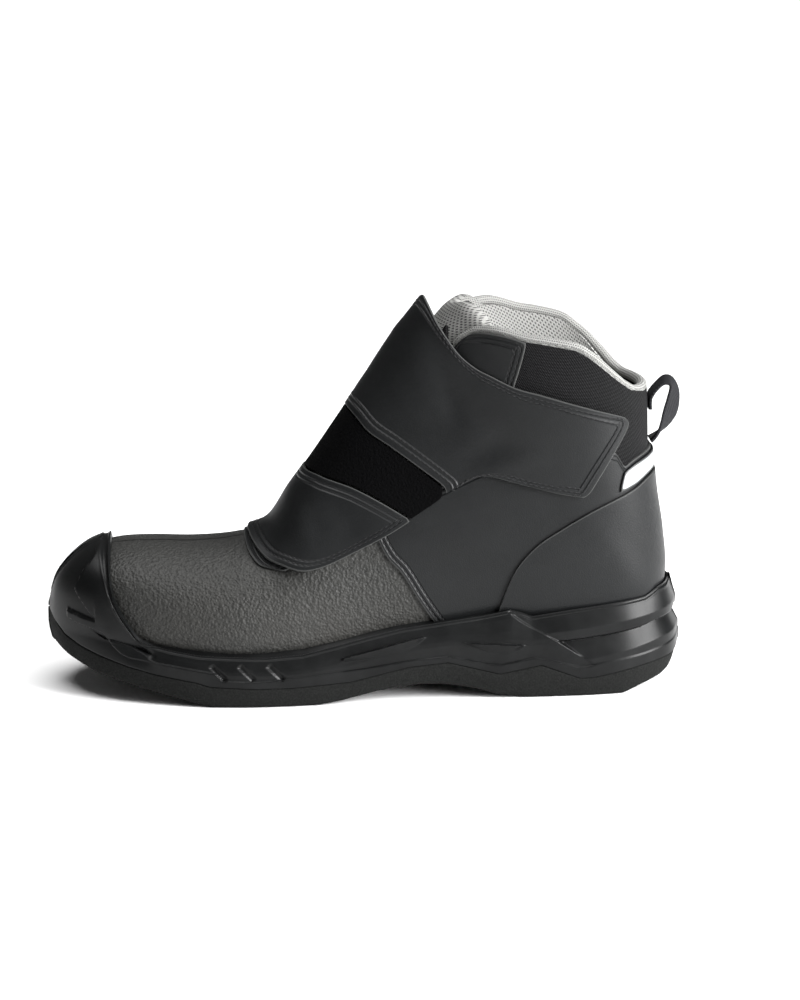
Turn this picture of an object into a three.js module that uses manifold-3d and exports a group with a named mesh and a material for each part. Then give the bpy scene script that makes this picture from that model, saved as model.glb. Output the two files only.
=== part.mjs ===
import * as THREE from 'three';
import { LoftGeometry } from 'three/addons/geometries/LoftGeometry.js';
import { mergeVertices } from 'three/addons/utils/BufferGeometryUtils.js';
import Module from 'manifold-3d';

// A safety shoe for the left foot: an ankle boot whose instep flap closes on the outer side.
// Millimetres. +X points to the toe, +Y to the wearer's left, +Z up.
// The origin is the middle of the heel tread, on the floor.

const wasm = await Module();
wasm.setup();

// Driving sizes
const shoeLength = 308;
const soleWidth = 108;
const lastHeight = 200;
const gap = 0.3;
const upperWall = 2.2;
const quarterStep = 1.2;
const counterThickness = 1.4;
const bandThickness = 1;
const tabThickness = 0.9;
const flapThickness = 1.8;
const pileThickness = 1.4;
const guardThickness = 3.2;
const collarPad = 6.5;
const collarRise = 2.5;
const tonguePad = 6;
const tongueWidth = 60;
const throatWidth = 42;
const insoleThickness = 4;
const lastMargin = 3.6;
const treadDepth = 3.6;
const grooveWidth = 4;
const loopWidth = 14;
const loopThickness = 1.8;
const loopReach = 12;
const flapLift = 5.7;
const ribDepth = 4;
const treadBevel = 1.6;
const treadBorder = 6;
const slashRaise = 0.9;
const dentDepth = 3;
const ringSteps = 26;
const soleSteps = 48;

// Lengths in the tables are shares: x of the shoe length, y of the sole width, z of the last's height
const along = (share) => share * shoeLength;
const across = (share) => share * soleWidth;
const up = (share) => share * lastHeight;

// Sections of the last, fanned from the toe, under the foot and up the heel.
// back and top are the section's two ends in the side view, left and right its half widths,
// wide is where it is widest, and low and high bend it from an ellipse (2) to a box.
const lastRows = [
  { backX: 0.851, backZ: 0.190, topX: 0.851, topZ: 0.222,
    left: -0.019, right: 0.093, wide: 0.50, low: 2.0, high: 2.0 },
  { backX: 0.844, backZ: 0.160, topX: 0.841, topZ: 0.262,
    left: 0.074, right: 0.185, wide: 0.48, low: 2.4, high: 2.4 },
  { backX: 0.826, backZ: 0.148, topX: 0.818, topZ: 0.302,
    left: 0.171, right: 0.269, wide: 0.44, low: 2.8, high: 2.5 },
  { backX: 0.795, backZ: 0.138, topX: 0.789, topZ: 0.332,
    left: 0.259, right: 0.343, wide: 0.42, low: 3.2, high: 2.5 },
  { backX: 0.753, backZ: 0.125, topX: 0.750, topZ: 0.347,
    left: 0.333, right: 0.403, wide: 0.40, low: 3.5, high: 2.5 },
  { backX: 0.698, backZ: 0.110, topX: 0.698, topZ: 0.351,
    left: 0.389, right: 0.440, wide: 0.38, low: 3.5, high: 2.4 },
  { backX: 0.633, backZ: 0.098, topX: 0.633, topZ: 0.351,
    left: 0.431, right: 0.454, wide: 0.36, low: 3.5, high: 2.3 },
  { backX: 0.568, backZ: 0.088, topX: 0.568, topZ: 0.362,
    left: 0.449, right: 0.449, wide: 0.34, low: 3.5, high: 2.2 },
  { backX: 0.487, backZ: 0.090, topX: 0.513, topZ: 0.391,
    left: 0.435, right: 0.412, wide: 0.33, low: 3.4, high: 2.1 },
  { backX: 0.406, backZ: 0.095, topX: 0.474, topZ: 0.480,
    left: 0.403, right: 0.356, wide: 0.33, low: 3.2, high: 2.0 },
  { backX: 0.318, backZ: 0.110, topX: 0.438, topZ: 0.558,
    left: 0.370, right: 0.324, wide: 0.34, low: 3.0, high: 2.0 },
  { backX: 0.227, backZ: 0.130, topX: 0.406, topZ: 0.630,
    left: 0.356, right: 0.319, wide: 0.36, low: 3.2, high: 2.0 },
  { backX: 0.136, backZ: 0.147, topX: 0.377, topZ: 0.695,
    left: 0.347, right: 0.324, wide: 0.38, low: 3.3, high: 2.0 },
  { backX: 0.045, backZ: 0.155, topX: 0.349, topZ: 0.755,
    left: 0.347, right: 0.333, wide: 0.40, low: 3.3, high: 2.0 },
  { backX: -0.039, backZ: 0.160, topX: 0.323, topZ: 0.803,
    left: 0.343, right: 0.329, wide: 0.42, low: 3.0, high: 2.0 },
  { backX: -0.092, backZ: 0.190, topX: 0.299, topZ: 0.843,
    left: 0.338, right: 0.329, wide: 0.44, low: 2.6, high: 2.0 },
  { backX: -0.104, backZ: 0.275, topX: 0.278, topZ: 0.878,
    left: 0.343, right: 0.333, wide: 0.45, low: 2.2, high: 2.0 },
  { backX: -0.099, backZ: 0.375, topX: 0.260, topZ: 0.910,
    left: 0.347, right: 0.338, wide: 0.46, low: 2.2, high: 2.0 },
  { backX: -0.089, backZ: 0.475, topX: 0.244, topZ: 0.940,
    left: 0.352, right: 0.347, wide: 0.46, low: 2.2, high: 2.0 },
  { backX: -0.083, backZ: 0.575, topX: 0.231, topZ: 0.970,
    left: 0.361, right: 0.356, wide: 0.47, low: 2.2, high: 2.1 },
  { backX: -0.081, backZ: 0.675, topX: 0.218, topZ: 1.000,
    left: 0.370, right: 0.366, wide: 0.48, low: 2.2, high: 2.1 },
  { backX: -0.078, backZ: 0.775, topX: 0.205, topZ: 1.030,
    left: 0.384, right: 0.380, wide: 0.49, low: 2.2, high: 2.1 },
  { backX: -0.078, backZ: 0.870, topX: 0.195, topZ: 1.070,
    left: 0.389, right: 0.389, wide: 0.50, low: 2.2, high: 2.1 },
];
const firstTongueRow = 8;
const firstCollarRow = 11;
const firstBackRow = 16;
const lastRow = lastRows.length - 1;

// Plan outline of the sole, heel to toe, with the outer side on the left foot's left
const solePlan = [
  { x: -0.136, outer: 0.010, inner: 0.010 },
  { x: -0.123, outer: 0.165, inner: 0.155 },
  { x: -0.097, outer: 0.262, inner: 0.250 },
  { x: -0.049, outer: 0.340, inner: 0.328 },
  { x: 0.010, outer: 0.375, inner: 0.358 },
  { x: 0.075, outer: 0.390, inner: 0.360 },
  { x: 0.146, outer: 0.398, inner: 0.350 },
  { x: 0.227, outer: 0.407, inner: 0.333 },
  { x: 0.308, outer: 0.426, inner: 0.343 },
  { x: 0.390, outer: 0.454, inner: 0.389 },
  { x: 0.471, outer: 0.486, inner: 0.454 },
  { x: 0.536, outer: 0.500, inner: 0.491 },
  { x: 0.601, outer: 0.491, inner: 0.509 },
  { x: 0.666, outer: 0.458, inner: 0.500 },
  { x: 0.731, outer: 0.398, inner: 0.463 },
  { x: 0.779, outer: 0.324, inner: 0.407 },
  { x: 0.818, outer: 0.225, inner: 0.324 },
  { x: 0.846, outer: 0.110, inner: 0.215 },
  { x: 0.864, outer: -0.045, inner: 0.065 },
];

// Side view lines of the sole, heel to toe
const topEdge = [
  [-0.136, 0.255], [-0.107, 0.250], [-0.081, 0.232], [-0.026, 0.224], [0.045, 0.212], [0.108, 0.198],
  [0.123, 0.208], [0.140, 0.216], [0.188, 0.202], [0.256, 0.188], [0.312, 0.177], [0.364, 0.160],
  [0.419, 0.140], [0.464, 0.125], [0.523, 0.120], [0.630, 0.125], [0.675, 0.135], [0.734, 0.154],
  [0.760, 0.185], [0.790, 0.218], [0.830, 0.252], [0.864, 0.275],
];
const soleBorder = [
  [-0.136, 0.093], [-0.122, 0.083], [-0.065, 0.070], [0.010, 0.049], [0.032, 0.048], [0.094, 0.084],
  [0.159, 0.064], [0.240, 0.096], [0.302, 0.088], [0.393, 0.058], [0.481, 0.050], [0.539, 0.050],
  [0.610, 0.055], [0.633, 0.065], [0.695, 0.080], [0.736, 0.093], [0.784, 0.113], [0.812, 0.126],
  [0.838, 0.143], [0.850, 0.161], [0.858, 0.177], [0.864, 0.186],
];
const treadLine = [
  [-0.136, 0.065], [-0.117, 0.040], [-0.097, 0.028], [-0.065, 0.014], [-0.040, 0], [0.115, 0],
  [0.165, 0.010], [0.200, 0.026], [0.244, 0.038], [0.286, 0.040], [0.347, 0.028], [0.405, 0.008],
  [0.440, 0], [0.610, 0], [0.662, 0.018], [0.711, 0.036], [0.760, 0.053], [0.789, 0.063],
  [0.818, 0.078], [0.864, 0.100],
];

// Rings of the midsole's side from the sole border (0) to its top edge (1), with their step in
// as shares of the rib depth: side along the foot, heel round the back with its two ribs
const midsoleRings = [
  { level: -0.30, side: 0, heel: 0 },
  { level: 0.13, side: 0, heel: 0 },
  { level: 0.17, side: 0.23, heel: 0.05 },
  { level: 0.27, side: 0.23, heel: 0.02 },
  { level: 0.42, side: 0.20, heel: 0.50 },
  { level: 0.53, side: 0.30, heel: 1.02 },
  { level: 0.60, side: 0.38, heel: 0.95 },
  { level: 0.68, side: 0.48, heel: 0.60 },
  { level: 0.88, side: 0.80, heel: 0.90 },
  { level: 1.10, side: 1.40, heel: 1.55 },
  { level: 1.20, side: 3.00, heel: 3.50 },
];
// Rings of the outsole's side above the tread line, with their step in as shares of its bevel
const outsoleRings = [
  { level: -0.05, side: 1 },
  { level: 0.02, side: 0.55 },
  { level: 0.05, side: 0 },
  { level: 0.30, side: 0 },
];
// Tread grooves slant towards the toe on both sides, and end at a border round the tread
const grooves = {
  forefoot: [0.430, 0.482, 0.534, 0.586, 0.638, 0.690, 0.742],
  heel: [-0.075, -0.035, 0.040, 0.085],
};
const grooveReach = { middle: 0.42, length: 0.62, slant: 0.3 };
const heelRibEnd = 0.02;
const heelRibFade = 0.16;

// Facets pressed into the midsole's side, with the sole's half width at each
const sideDents = [
  { outer: 0.440, inner: 0.366, outline: [[0.405, 0.106], [0.343, 0.132], [0.279, 0.154], [0.310, 0.124]] },
  { outer: 0.402, inner: 0.348, outline: [[0.207, 0.142], [0.150, 0.115], [0.117, 0.133]] },
];

// The edge of the collar in the side view, from the facing round to the back of the heel: the
// outer side lies a little lower at the front
const outerTopline = [
  [0.231, 0.826], [0.222, 0.852], [0.201, 0.878], [0.166, 0.880], [0.120, 0.866], [0.088, 0.859],
  [0.045, 0.846], [0.023, 0.827], [0.003, 0.802], [-0.021, 0.769], [-0.045, 0.740], [-0.070, 0.727],
  [-0.150, 0.727],
];
const innerTopline = [
  [0.231, 0.850], [0.227, 0.880], [0.201, 0.905], [0.166, 0.907], [0.120, 0.883], [0.088, 0.872],
  [0.045, 0.855], [0.023, 0.833], [0.003, 0.810], [-0.021, 0.775], [-0.045, 0.740], [-0.070, 0.727],
  [-0.150, 0.727],
];

// Side view outlines of the panels, each closed
const upperOutline = (topline) => [
  ...topline, [-0.150, 0.020], [0.900, 0.020], [0.900, 0.420], [0.560, 0.420], [0.420, 0.760],
  [0.300, 1.000], [0.231, 1.000],
];
const quarterOutline = [
  [0.352, 0.405], [0.347, 0.385], [0.330, 0.345], [0.312, 0.311], [0.263, 0.190], [0.240, 0.020],
  [-0.160, 0.020], [-0.160, 0.585], [-0.083, 0.581], [-0.055, 0.568], [-0.034, 0.552], [-0.024, 0.590],
  [0.010, 0.640],
  [0.060, 0.700], [0.133, 0.758], [0.116, 0.875], [0.130, 1.000], [0.320, 1.000], [0.520, 0.560],
];
const counterOutline = [
  [0.159, 0.230], [0.151, 0.255], [0.133, 0.318], [0.101, 0.374], [0.064, 0.412], [0.024, 0.448],
  [-0.010, 0.473], [-0.055, 0.502], [-0.083, 0.523], [-0.160, 0.530], [-0.160, 0.100], [0.159, 0.100],
];
const bandOutline = [
  [-0.030, 0.497], [-0.055, 0.511], [-0.083, 0.532], [-0.160, 0.539], [-0.160, 0.580], [-0.083, 0.575],
  [-0.055, 0.561], [-0.037, 0.545], [-0.032, 0.520],
];
const tabOutline = [
  [0.480, 0.420], [0.555, 0.420], [0.557, 0.380], [0.548, 0.352], [0.532, 0.331], [0.505, 0.322],
  [0.480, 0.330],
];
const baseOutline = [
  [0.640, 0.430], [0.560, 0.400], [0.525, 0.352], [0.494, 0.335], [0.467, 0.325], [0.422, 0.340],
  [0.379, 0.370], [0.334, 0.405], [0.300, 0.437], [0.304, 0.445], [0.344, 0.482], [0.387, 0.513],
  [0.429, 0.530], [0.460, 0.539], [0.600, 0.560],
];
const pileOutline = [
  [0.600, 0.564], [0.460, 0.543], [0.429, 0.534], [0.386, 0.517], [0.343, 0.486], [0.302, 0.449],
  [0.297, 0.443], [0.250, 0.497], [0.250, 0.518], [0.288, 0.563], [0.331, 0.608], [0.363, 0.638],
  [0.391, 0.680], [0.500, 0.800],
];
const strapOutline = [
  [0.500, 0.804], [0.390, 0.684], [0.362, 0.642], [0.330, 0.612], [0.287, 0.567], [0.248, 0.522],
  [0.244, 0.503], [0.218, 0.535], [0.195, 0.543], [0.171, 0.543], [0.140, 0.530], [0.071, 0.502],
  [0.038, 0.489], [0.022, 0.502], [0.006, 0.535], [-0.020, 0.600], [-0.040, 0.650], [-0.041, 0.667],
  [-0.029, 0.686], [-0.011, 0.693], [0.054, 0.722], [0.100, 0.742], [0.138, 0.757], [0.175, 0.783],
  [0.197, 0.799], [0.221, 0.828], [0.240, 0.865], [0.256, 0.903], [0.275, 0.958], [0.420, 0.958],
];
const strapInnerOutline = [
  [0.500, 0.804], [0.390, 0.684], [0.362, 0.642], [0.330, 0.612], [0.287, 0.567], [0.248, 0.522],
  [0.225, 0.560], [0.200, 0.640], [0.195, 0.710], [0.205, 0.765], [0.221, 0.795], [0.240, 0.828],
  [0.256, 0.873], [0.275, 0.945], [0.420, 0.958],
];
const throatOutline = [
  [0.520, 0.380], [0.480, 0.400], [0.420, 0.545], [0.330, 0.740], [0.262, 0.840], [0.225, 0.860],
  [0.190, 1.100], [0.420, 1.100], [0.640, 0.420], [0.560, 0.380],
];
const tongueOutline = [
  [0.500, 0.380], [0.455, 0.400], [0.400, 0.520], [0.300, 0.720], [0.195, 0.880], [0.170, 0.960],
  [0.205, 0.975], [0.235, 0.955], [0.330, 0.870], [0.560, 0.500], [0.580, 0.380],
];
const collarOutline = (topline) => [
  ...topline.map(([x, z]) => [x, z + collarRise / lastHeight]),
  [-0.150, 0.500], [0.010, 0.500], [0.110, 0.620], [0.180, 0.700], [0.231, 0.800],
];
const guardEdge = [
  [0.753, 0.150], [0.766, 0.200], [0.776, 0.260], [0.776, 0.310], [0.768, 0.350], [0.766, 0.420],
  [0.920, 0.420], [0.920, 0.120],
];

// How far the flap lifts off the instep at the last's sections, as a share of its full lift
const flapRise = [[8, 0.03], [9, 0.09], [12, 0.12], [13, 0.20], [14, 0.50], [15, 0.80], [17, 1], [22, 1]];
const flapCrown = 0.62;

// Where the front of the collar lining leaves room for the tongue
const tongueFront = [[0.15, 0.4], [0.15, 1.1], [0.5, 1.1], [0.5, 0.4]];

// The pull loop's middle line: height, reach behind the heel as a share of its full reach, and
// twist in turns
const loopLine = [
  { z: 0.670, out: 0, twist: 0 },
  { z: 0.700, out: 0.05, twist: 0 },
  { z: 0.729, out: 0.45, twist: 0 },
  { z: 0.737, out: 0.75, twist: 0.01 },
  { z: 0.728, out: 0.96, twist: 0.02 },
  { z: 0.700, out: 1, twist: 0.03 },
  { z: 0.660, out: 0.86, twist: 0.03 },
  { z: 0.628, out: 0.62, twist: 0.02 },
  { z: 0.603, out: 0.28, twist: 0.01 },
  { z: 0.590, out: 0, twist: 0 },
];

// Raised marks on the outer side of the forefoot
const slash = { at: [0.509, 0.554, 0.598], z: 0.087, side: 0.488, length: 0.030, thickness: 0.011 };

const smooth = (low, high, value) => THREE.MathUtils.smoothstep(value, low, high);

function valueAt(table, x) {
  const next = Math.min(Math.max(table.findIndex((row) => row[0] > x), 1), table.length - 1);
  const [x0, v0] = table[next - 1];
  const [x1, v1] = table[next];
  const share = THREE.MathUtils.clamp((x - x0) / (x1 - x0), 0, 1);
  return x > table[table.length - 1][0] ? table[table.length - 1][1] : v0 + (v1 - v0) * share;
}

const bend = (value, power) => Math.sign(value) * Math.abs(value) ** (2 / power);

// One point of the last: a share of a turn round a section, from the sole up the inner side
function lastPoint(row, turn) {
  const lift = -Math.cos(turn * 2 * Math.PI);
  const power = lift < 0 ? row.low : row.high;
  const reach = lift < 0 ? row.wide : 1 - row.wide;
  const share = row.wide + reach * bend(lift, power);
  const centre = (row.left - row.right) / 2;
  const half = (row.left + row.right) / 2;
  const side = half * bend(Math.sin(turn * 2 * Math.PI), power);
  return new THREE.Vector3(
    along(row.backX + (row.topX - row.backX) * share),
    across(centre - side),
    up(row.backZ + (row.topZ - row.backZ) * share),
  );
}

const lastGrid = lastRows.map((row) => {
  return Array.from({ length: ringSteps }, (_, step) => lastPoint(row, step / ringSteps));
});

function lastNormal(index, step) {
  const ahead = lastGrid[Math.min(index + 1, lastRow)][step];
  const behind = lastGrid[Math.max(index - 1, 0)][step];
  const right = lastGrid[index][(step + 1) % ringSteps];
  const left = lastGrid[index][(step + ringSteps - 1) % ringSteps];
  const lengthwise = new THREE.Vector3().subVectors(ahead, behind);
  const round = new THREE.Vector3().subVectors(right, left);
  return round.cross(lengthwise).normalize();
}

function solid(geometry) {
  const bare = new THREE.BufferGeometry();
  bare.setAttribute('position', geometry.attributes.position);
  bare.setIndex(geometry.index);
  const merged = mergeVertices(bare, 1e-4);
  const vertProperties = new Float32Array(merged.attributes.position.array);
  const triVerts = new Uint32Array(merged.index.array);
  return new wasm.Manifold(new wasm.Mesh({ numProp: 3, vertProperties, triVerts }));
}

const caps = { capStart: true, capEnd: true };

// The last grown or shrunk by an offset, which is a length or a function of row and step
function last(offset, fromRow = 0) {
  const distance = typeof offset === 'function' ? offset : () => offset;
  const sections = lastGrid.slice(fromRow).map((ring, place) => {
    const index = place + fromRow;
    return ring.map((point, step) => {
      return point.clone().addScaledVector(lastNormal(index, step), distance(index, step));
    });
  });
  return solid(new LoftGeometry(sections, caps));
}

// A side view outline pushed through the shoe from one side to the other
function sidePrism(outline, from = -soleWidth, to = soleWidth) {
  const points = outline.map(([x, z]) => new THREE.Vector2(along(x), up(z)));
  const flat = { depth: to - from, bevelEnabled: false };
  const geometry = new THREE.ExtrudeGeometry(new THREE.Shape(points), flat);
  geometry.rotateX(Math.PI / 2).translate(0, to, 0);
  return solid(geometry);
}

// Two side view outlines, each pushed out to its own side, that share a thin strip at the middle
function twoSides(outerOutline, innerOutline) {
  return sidePrism(outerOutline, -gap, soleWidth).add(sidePrism(innerOutline, -soleWidth, gap));
}

// Everything between two side view lines, each raised by its own length
function between(lowLine, lowRaise, highLine, highRaise) {
  const raised = (line, raise) => line.map(([x, z]) => [x, z + raise / lastHeight]);
  return sidePrism([...raised(lowLine, lowRaise), ...raised(highLine, highRaise).reverse()]);
}

const skyLine = [[-0.3, 1.4], [1.1, 1.4]];
const extended = (line) => [[-0.3, line[0][1]], ...line, [1.1, line[line.length - 1][1]]];
const bedLine = extended(lastRows.slice(1, 16).reverse().map((row) => [row.backX, row.backZ]));

function shell(outer, inner, outline) {
  return last(outer).subtract(last(inner)).intersect(sidePrism(outline));
}

// Points of the sole's plan outline with their outward directions
function solePoints() {
  const outerSide = solePlan.map((row) => new THREE.Vector3(along(row.x), across(row.outer), 0));
  const innerSide = solePlan.map((row) => new THREE.Vector3(along(row.x), -across(row.inner), 0));
  const curve = new THREE.CatmullRomCurve3([...innerSide, ...outerSide.reverse()], true, 'centripetal');
  return Array.from({ length: soleSteps }, (_, step) => {
    const tangent = curve.getTangentAt(step / soleSteps);
    return { point: curve.getPointAt(step / soleSteps), out: new THREE.Vector3(tangent.y, -tangent.x, 0) };
  });
}

const solePath = solePoints();

function soleRing(offsetAt, heightAt) {
  return solePath.map(({ point, out }) => {
    const place = point.clone().addScaledVector(out, offsetAt(point.x / shoeLength));
    return place.setZ(heightAt(point.x / shoeLength));
  });
}

function midsole() {
  const rings = midsoleRings.map((row) => {
    const fade = (x) => smooth(heelRibEnd, heelRibFade, x);
    const offsetAt = (x) => -ribDepth * THREE.MathUtils.lerp(row.heel, row.side, fade(x));
    const heightAt = (x) => up(THREE.MathUtils.lerp(valueAt(soleBorder, x), valueAt(topEdge, x), row.level));
    return soleRing(offsetAt, heightAt);
  });
  const guard = last(gap + guardThickness).intersect(sidePrism(guardEdge));
  const grownQuarter = quarterOutline.map(([x, z]) => [x + gap / shoeLength, z]);
  const skin = last(gap).add(last(quarterStep + gap).intersect(sidePrism(grownQuarter)));
  const foot = skin.intersect(between(bedLine, lastMargin - gap, skyLine, 0));
  const ring = solid(new LoftGeometry(rings, caps)).add(slashes()).subtract(dents());
  const side = ring.intersect(between(extended(soleBorder), 0, extended(topEdge), 0));
  return side.add(guard.intersect(between(extended(soleBorder), 0, skyLine, 0))).subtract(foot);
}

function dents() {
  const cuts = sideDents.flatMap(({ outer, inner, outline }) => [
    sidePrism(outline, across(outer) - dentDepth, soleWidth),
    sidePrism(outline, -soleWidth, dentDepth - across(inner)),
  ]);
  return wasm.Manifold.union(cuts);
}

function slashes() {
  const marks = slash.at.map((x) => {
    const depth = 2 * (slashRaise + ribDepth);
    const geometry = new THREE.BoxGeometry(along(slash.length), depth, up(slash.thickness));
    geometry.rotateY(-Math.PI / 4);
    geometry.translate(along(x), across(slash.side) + slashRaise - depth / 2, up(slash.z));
    return solid(geometry);
  });
  return wasm.Manifold.union(marks);
}

function outsole() {
  const rings = outsoleRings.map(({ level, side }) => {
    return soleRing(() => -treadBevel * side, (x) => up(level + valueAt(treadLine, x)));
  });
  const block = solid(new LoftGeometry(rings, caps));
  const slab = between(extended(treadLine), 0, extended(soleBorder), -gap);
  return block.intersect(slab).subtract(treadGrooves());
}

function treadGrooves() {
  const cuts = [...grooves.forefoot, ...grooves.heel].flatMap((x) => [1, -1].map((side) => {
    const geometry = new THREE.BoxGeometry(grooveWidth, across(grooveReach.length), 2 * treadDepth);
    geometry.rotateZ(side * grooveReach.slant);
    geometry.translate(along(x), side * across(grooveReach.middle), up(valueAt(treadLine, x)));
    return solid(geometry);
  }));
  const rings = [-1, 1].map((level) => {
    return soleRing(() => -treadBorder, (x) => up(valueAt(treadLine, x)) + level * 2 * treadDepth);
  });
  return wasm.Manifold.union(cuts).intersect(solid(new LoftGeometry(rings, caps)));
}

function insole() {
  const body = last(-upperWall - gap);
  return body.intersect(between(bedLine, lastMargin, bedLine, lastMargin + insoleThickness));
}

function upper() {
  const quarter = last(quarterStep).intersect(sidePrism(quarterOutline));
  const hollow = last(-upperWall);
  const throat = sidePrism(throatOutline, -throatWidth / 2, throatWidth / 2);
  const outline = twoSides(upperOutline(outerTopline), upperOutline(innerTopline));
  const body = last(0).add(quarter).subtract(hollow).intersect(outline);
  return body.intersect(between(bedLine, lastMargin, skyLine, 0)).subtract(throat);
}

function counter() {
  const skin = quarterStep + gap;
  const body = shell(skin + counterThickness, skin, counterOutline);
  return body.intersect(between(extended(topEdge), gap, skyLine, 0));
}

const reflectiveBand = () => shell(quarterStep + gap + bandThickness, quarterStep + gap, bandOutline);
const throatTab = () => shell(gap + tabThickness, gap, tabOutline);

// How far the flap's inner face stands off the last: crowned over the instep, close at its sides
function standoff(index, step) {
  const lift = -Math.cos(step / ringSteps * 2 * Math.PI);
  return quarterStep + gap + flapLift * valueAt(flapRise, index) * smooth(flapCrown, 1, lift);
}

function flapShell(thickness, outerSide, innerSide) {
  const body = last((index, step) => standoff(index, step) + thickness).subtract(last(standoff));
  return body.intersect(twoSides(outerSide, innerSide));
}

function tongue() {
  const outer = -upperWall - gap;
  const body = last(outer, firstTongueRow).subtract(last(outer - tonguePad, firstTongueRow));
  return body.intersect(sidePrism(tongueOutline, -tongueWidth / 2, tongueWidth / 2));
}

function collarLining() {
  const outer = -upperWall - gap;
  const body = last(outer, firstCollarRow).subtract(last(outer - collarPad, firstCollarRow));
  const tongueRoom = sidePrism(tongueFront, -tongueWidth / 2 - gap, tongueWidth / 2 + gap);
  const outline = twoSides(collarOutline(outerTopline), collarOutline(innerTopline));
  return body.intersect(outline).subtract(tongueRoom);
}

// The webbing's two ends lie on the back of the collar
function pullLoop() {
  const heelLine = lastRows.slice(firstBackRow).map((row) => [row.backZ, row.backX]);
  const path = new THREE.CatmullRomCurve3(loopLine.map(({ z, out }) => {
    const seat = along(valueAt(heelLine, z)) - gap - loopThickness / 2;
    return new THREE.Vector3(seat - out * loopReach, 0, up(z));
  }));
  const sections = loopLine.map(({ twist }, index) => {
    const share = index / (loopLine.length - 1);
    const tangent = path.getTangent(share);
    const side = new THREE.Vector3(0, loopWidth / 2, 0).applyAxisAngle(tangent, twist * 2 * Math.PI);
    const thick = new THREE.Vector3().crossVectors(tangent, side).setLength(loopThickness / 2);
    const corners = [[1, 1], [-1, 1], [-1, -1], [1, -1]];
    return corners.map(([a, b]) => path.getPoint(share).addScaledVector(side, a).addScaledVector(thick, b));
  });
  return solid(new LoftGeometry(sections, caps));
}

const finish = (color, roughness) => new THREE.MeshStandardMaterial({ color, roughness, metalness: 0 });

function piece(name, body, material) {
  const { vertProperties, triVerts, numProp } = body.getMesh();
  const geometry = new THREE.BufferGeometry();
  const position = new Float32Array(vertProperties.length / numProp * 3);
  for (let i = 0; i < position.length / 3; i += 1) {
    position.set(vertProperties.subarray(i * numProp, i * numProp + 3), i * 3);
  }
  geometry.setAttribute('position', new THREE.BufferAttribute(position, 3));
  geometry.setIndex(new THREE.BufferAttribute(triVerts, 1));
  const mesh = new THREE.Mesh(geometry, material);
  mesh.name = name;
  return mesh;
}

const shoe = new THREE.Group();
shoe.add(
  piece('outsole', outsole(), finish(0x1b1b1b, 0.85)),
  piece('midsole', midsole(), finish(0x17181a, 0.45)),
  piece('insole', insole(), finish(0x3a3b3c, 0.95)),
  piece('upper', upper(), finish(0x2b2c2d, 0.6)),
  piece('heel_counter', counter(), finish(0x2b2c2e, 0.5)),
  piece('reflective_band', reflectiveBand(), finish(0xb9bec0, 0.4)),
  piece('throat_tab', throatTab(), finish(0x2b2c2d, 0.6)),
  piece('flap_base', flapShell(flapThickness, baseOutline, baseOutline), finish(0x2d2f30, 0.5)),
  piece('flap_band', flapShell(pileThickness, pileOutline, pileOutline), finish(0x060606, 1)),
  piece('flap_strap', flapShell(flapThickness, strapOutline, strapInnerOutline), finish(0x2d2f30, 0.5)),
  piece('tongue', tongue(), finish(0x2a2a2b, 0.7)),
  piece('collar_lining', collarLining(), finish(0x7f807b, 0.9)),
  piece('pull_loop', pullLoop(), finish(0x141414, 0.8)),
);

export default shoe;
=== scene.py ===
import math

import bmesh
import bpy
import numpy as np
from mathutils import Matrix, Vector
from mathutils.bvhtree import BVHTree


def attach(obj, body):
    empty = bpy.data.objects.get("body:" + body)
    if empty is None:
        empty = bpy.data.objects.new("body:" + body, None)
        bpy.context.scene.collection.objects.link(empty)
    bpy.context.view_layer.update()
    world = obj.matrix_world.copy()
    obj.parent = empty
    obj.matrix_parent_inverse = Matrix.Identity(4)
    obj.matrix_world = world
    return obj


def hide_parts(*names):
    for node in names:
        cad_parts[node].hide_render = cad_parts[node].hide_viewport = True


# The looks of a left safety shoe, in metres: +X to the toe, +Y to its outer side, +Z up
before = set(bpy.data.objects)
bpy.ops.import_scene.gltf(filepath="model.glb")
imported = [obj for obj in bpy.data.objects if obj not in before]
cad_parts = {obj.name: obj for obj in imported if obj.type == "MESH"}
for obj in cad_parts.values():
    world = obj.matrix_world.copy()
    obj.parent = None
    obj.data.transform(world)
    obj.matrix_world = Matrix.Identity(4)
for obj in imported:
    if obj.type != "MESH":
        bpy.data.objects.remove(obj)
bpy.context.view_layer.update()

mm = 0.001
shoeLength = 308 * mm
soleWidth = 108 * mm
lastHeight = 200 * mm
gap = 0.3 * mm
upperWall = 2.2 * mm
quarterStep = 1.2 * mm
counterThickness = 1.4 * mm
bandThickness = 1.0 * mm
tabThickness = 0.9 * mm
flapThickness = 1.8 * mm
pileThickness = 1.4 * mm
flapLift = 5.7 * mm
guardThickness = 3.2 * mm
collarPad = 6.5 * mm
tonguePad = 6.0 * mm
tongueEdge = 3.0 * mm
tongueEdgeFrom = 160 * mm
ankleMiddle = 35 * mm
ribDepth = 4.0 * mm
bedLift = 3.3 * mm
sockLift = 4.2 * mm
sockThickness = 3.6 * mm
cell = 1.3 * mm
around = 2 * math.pi

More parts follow.
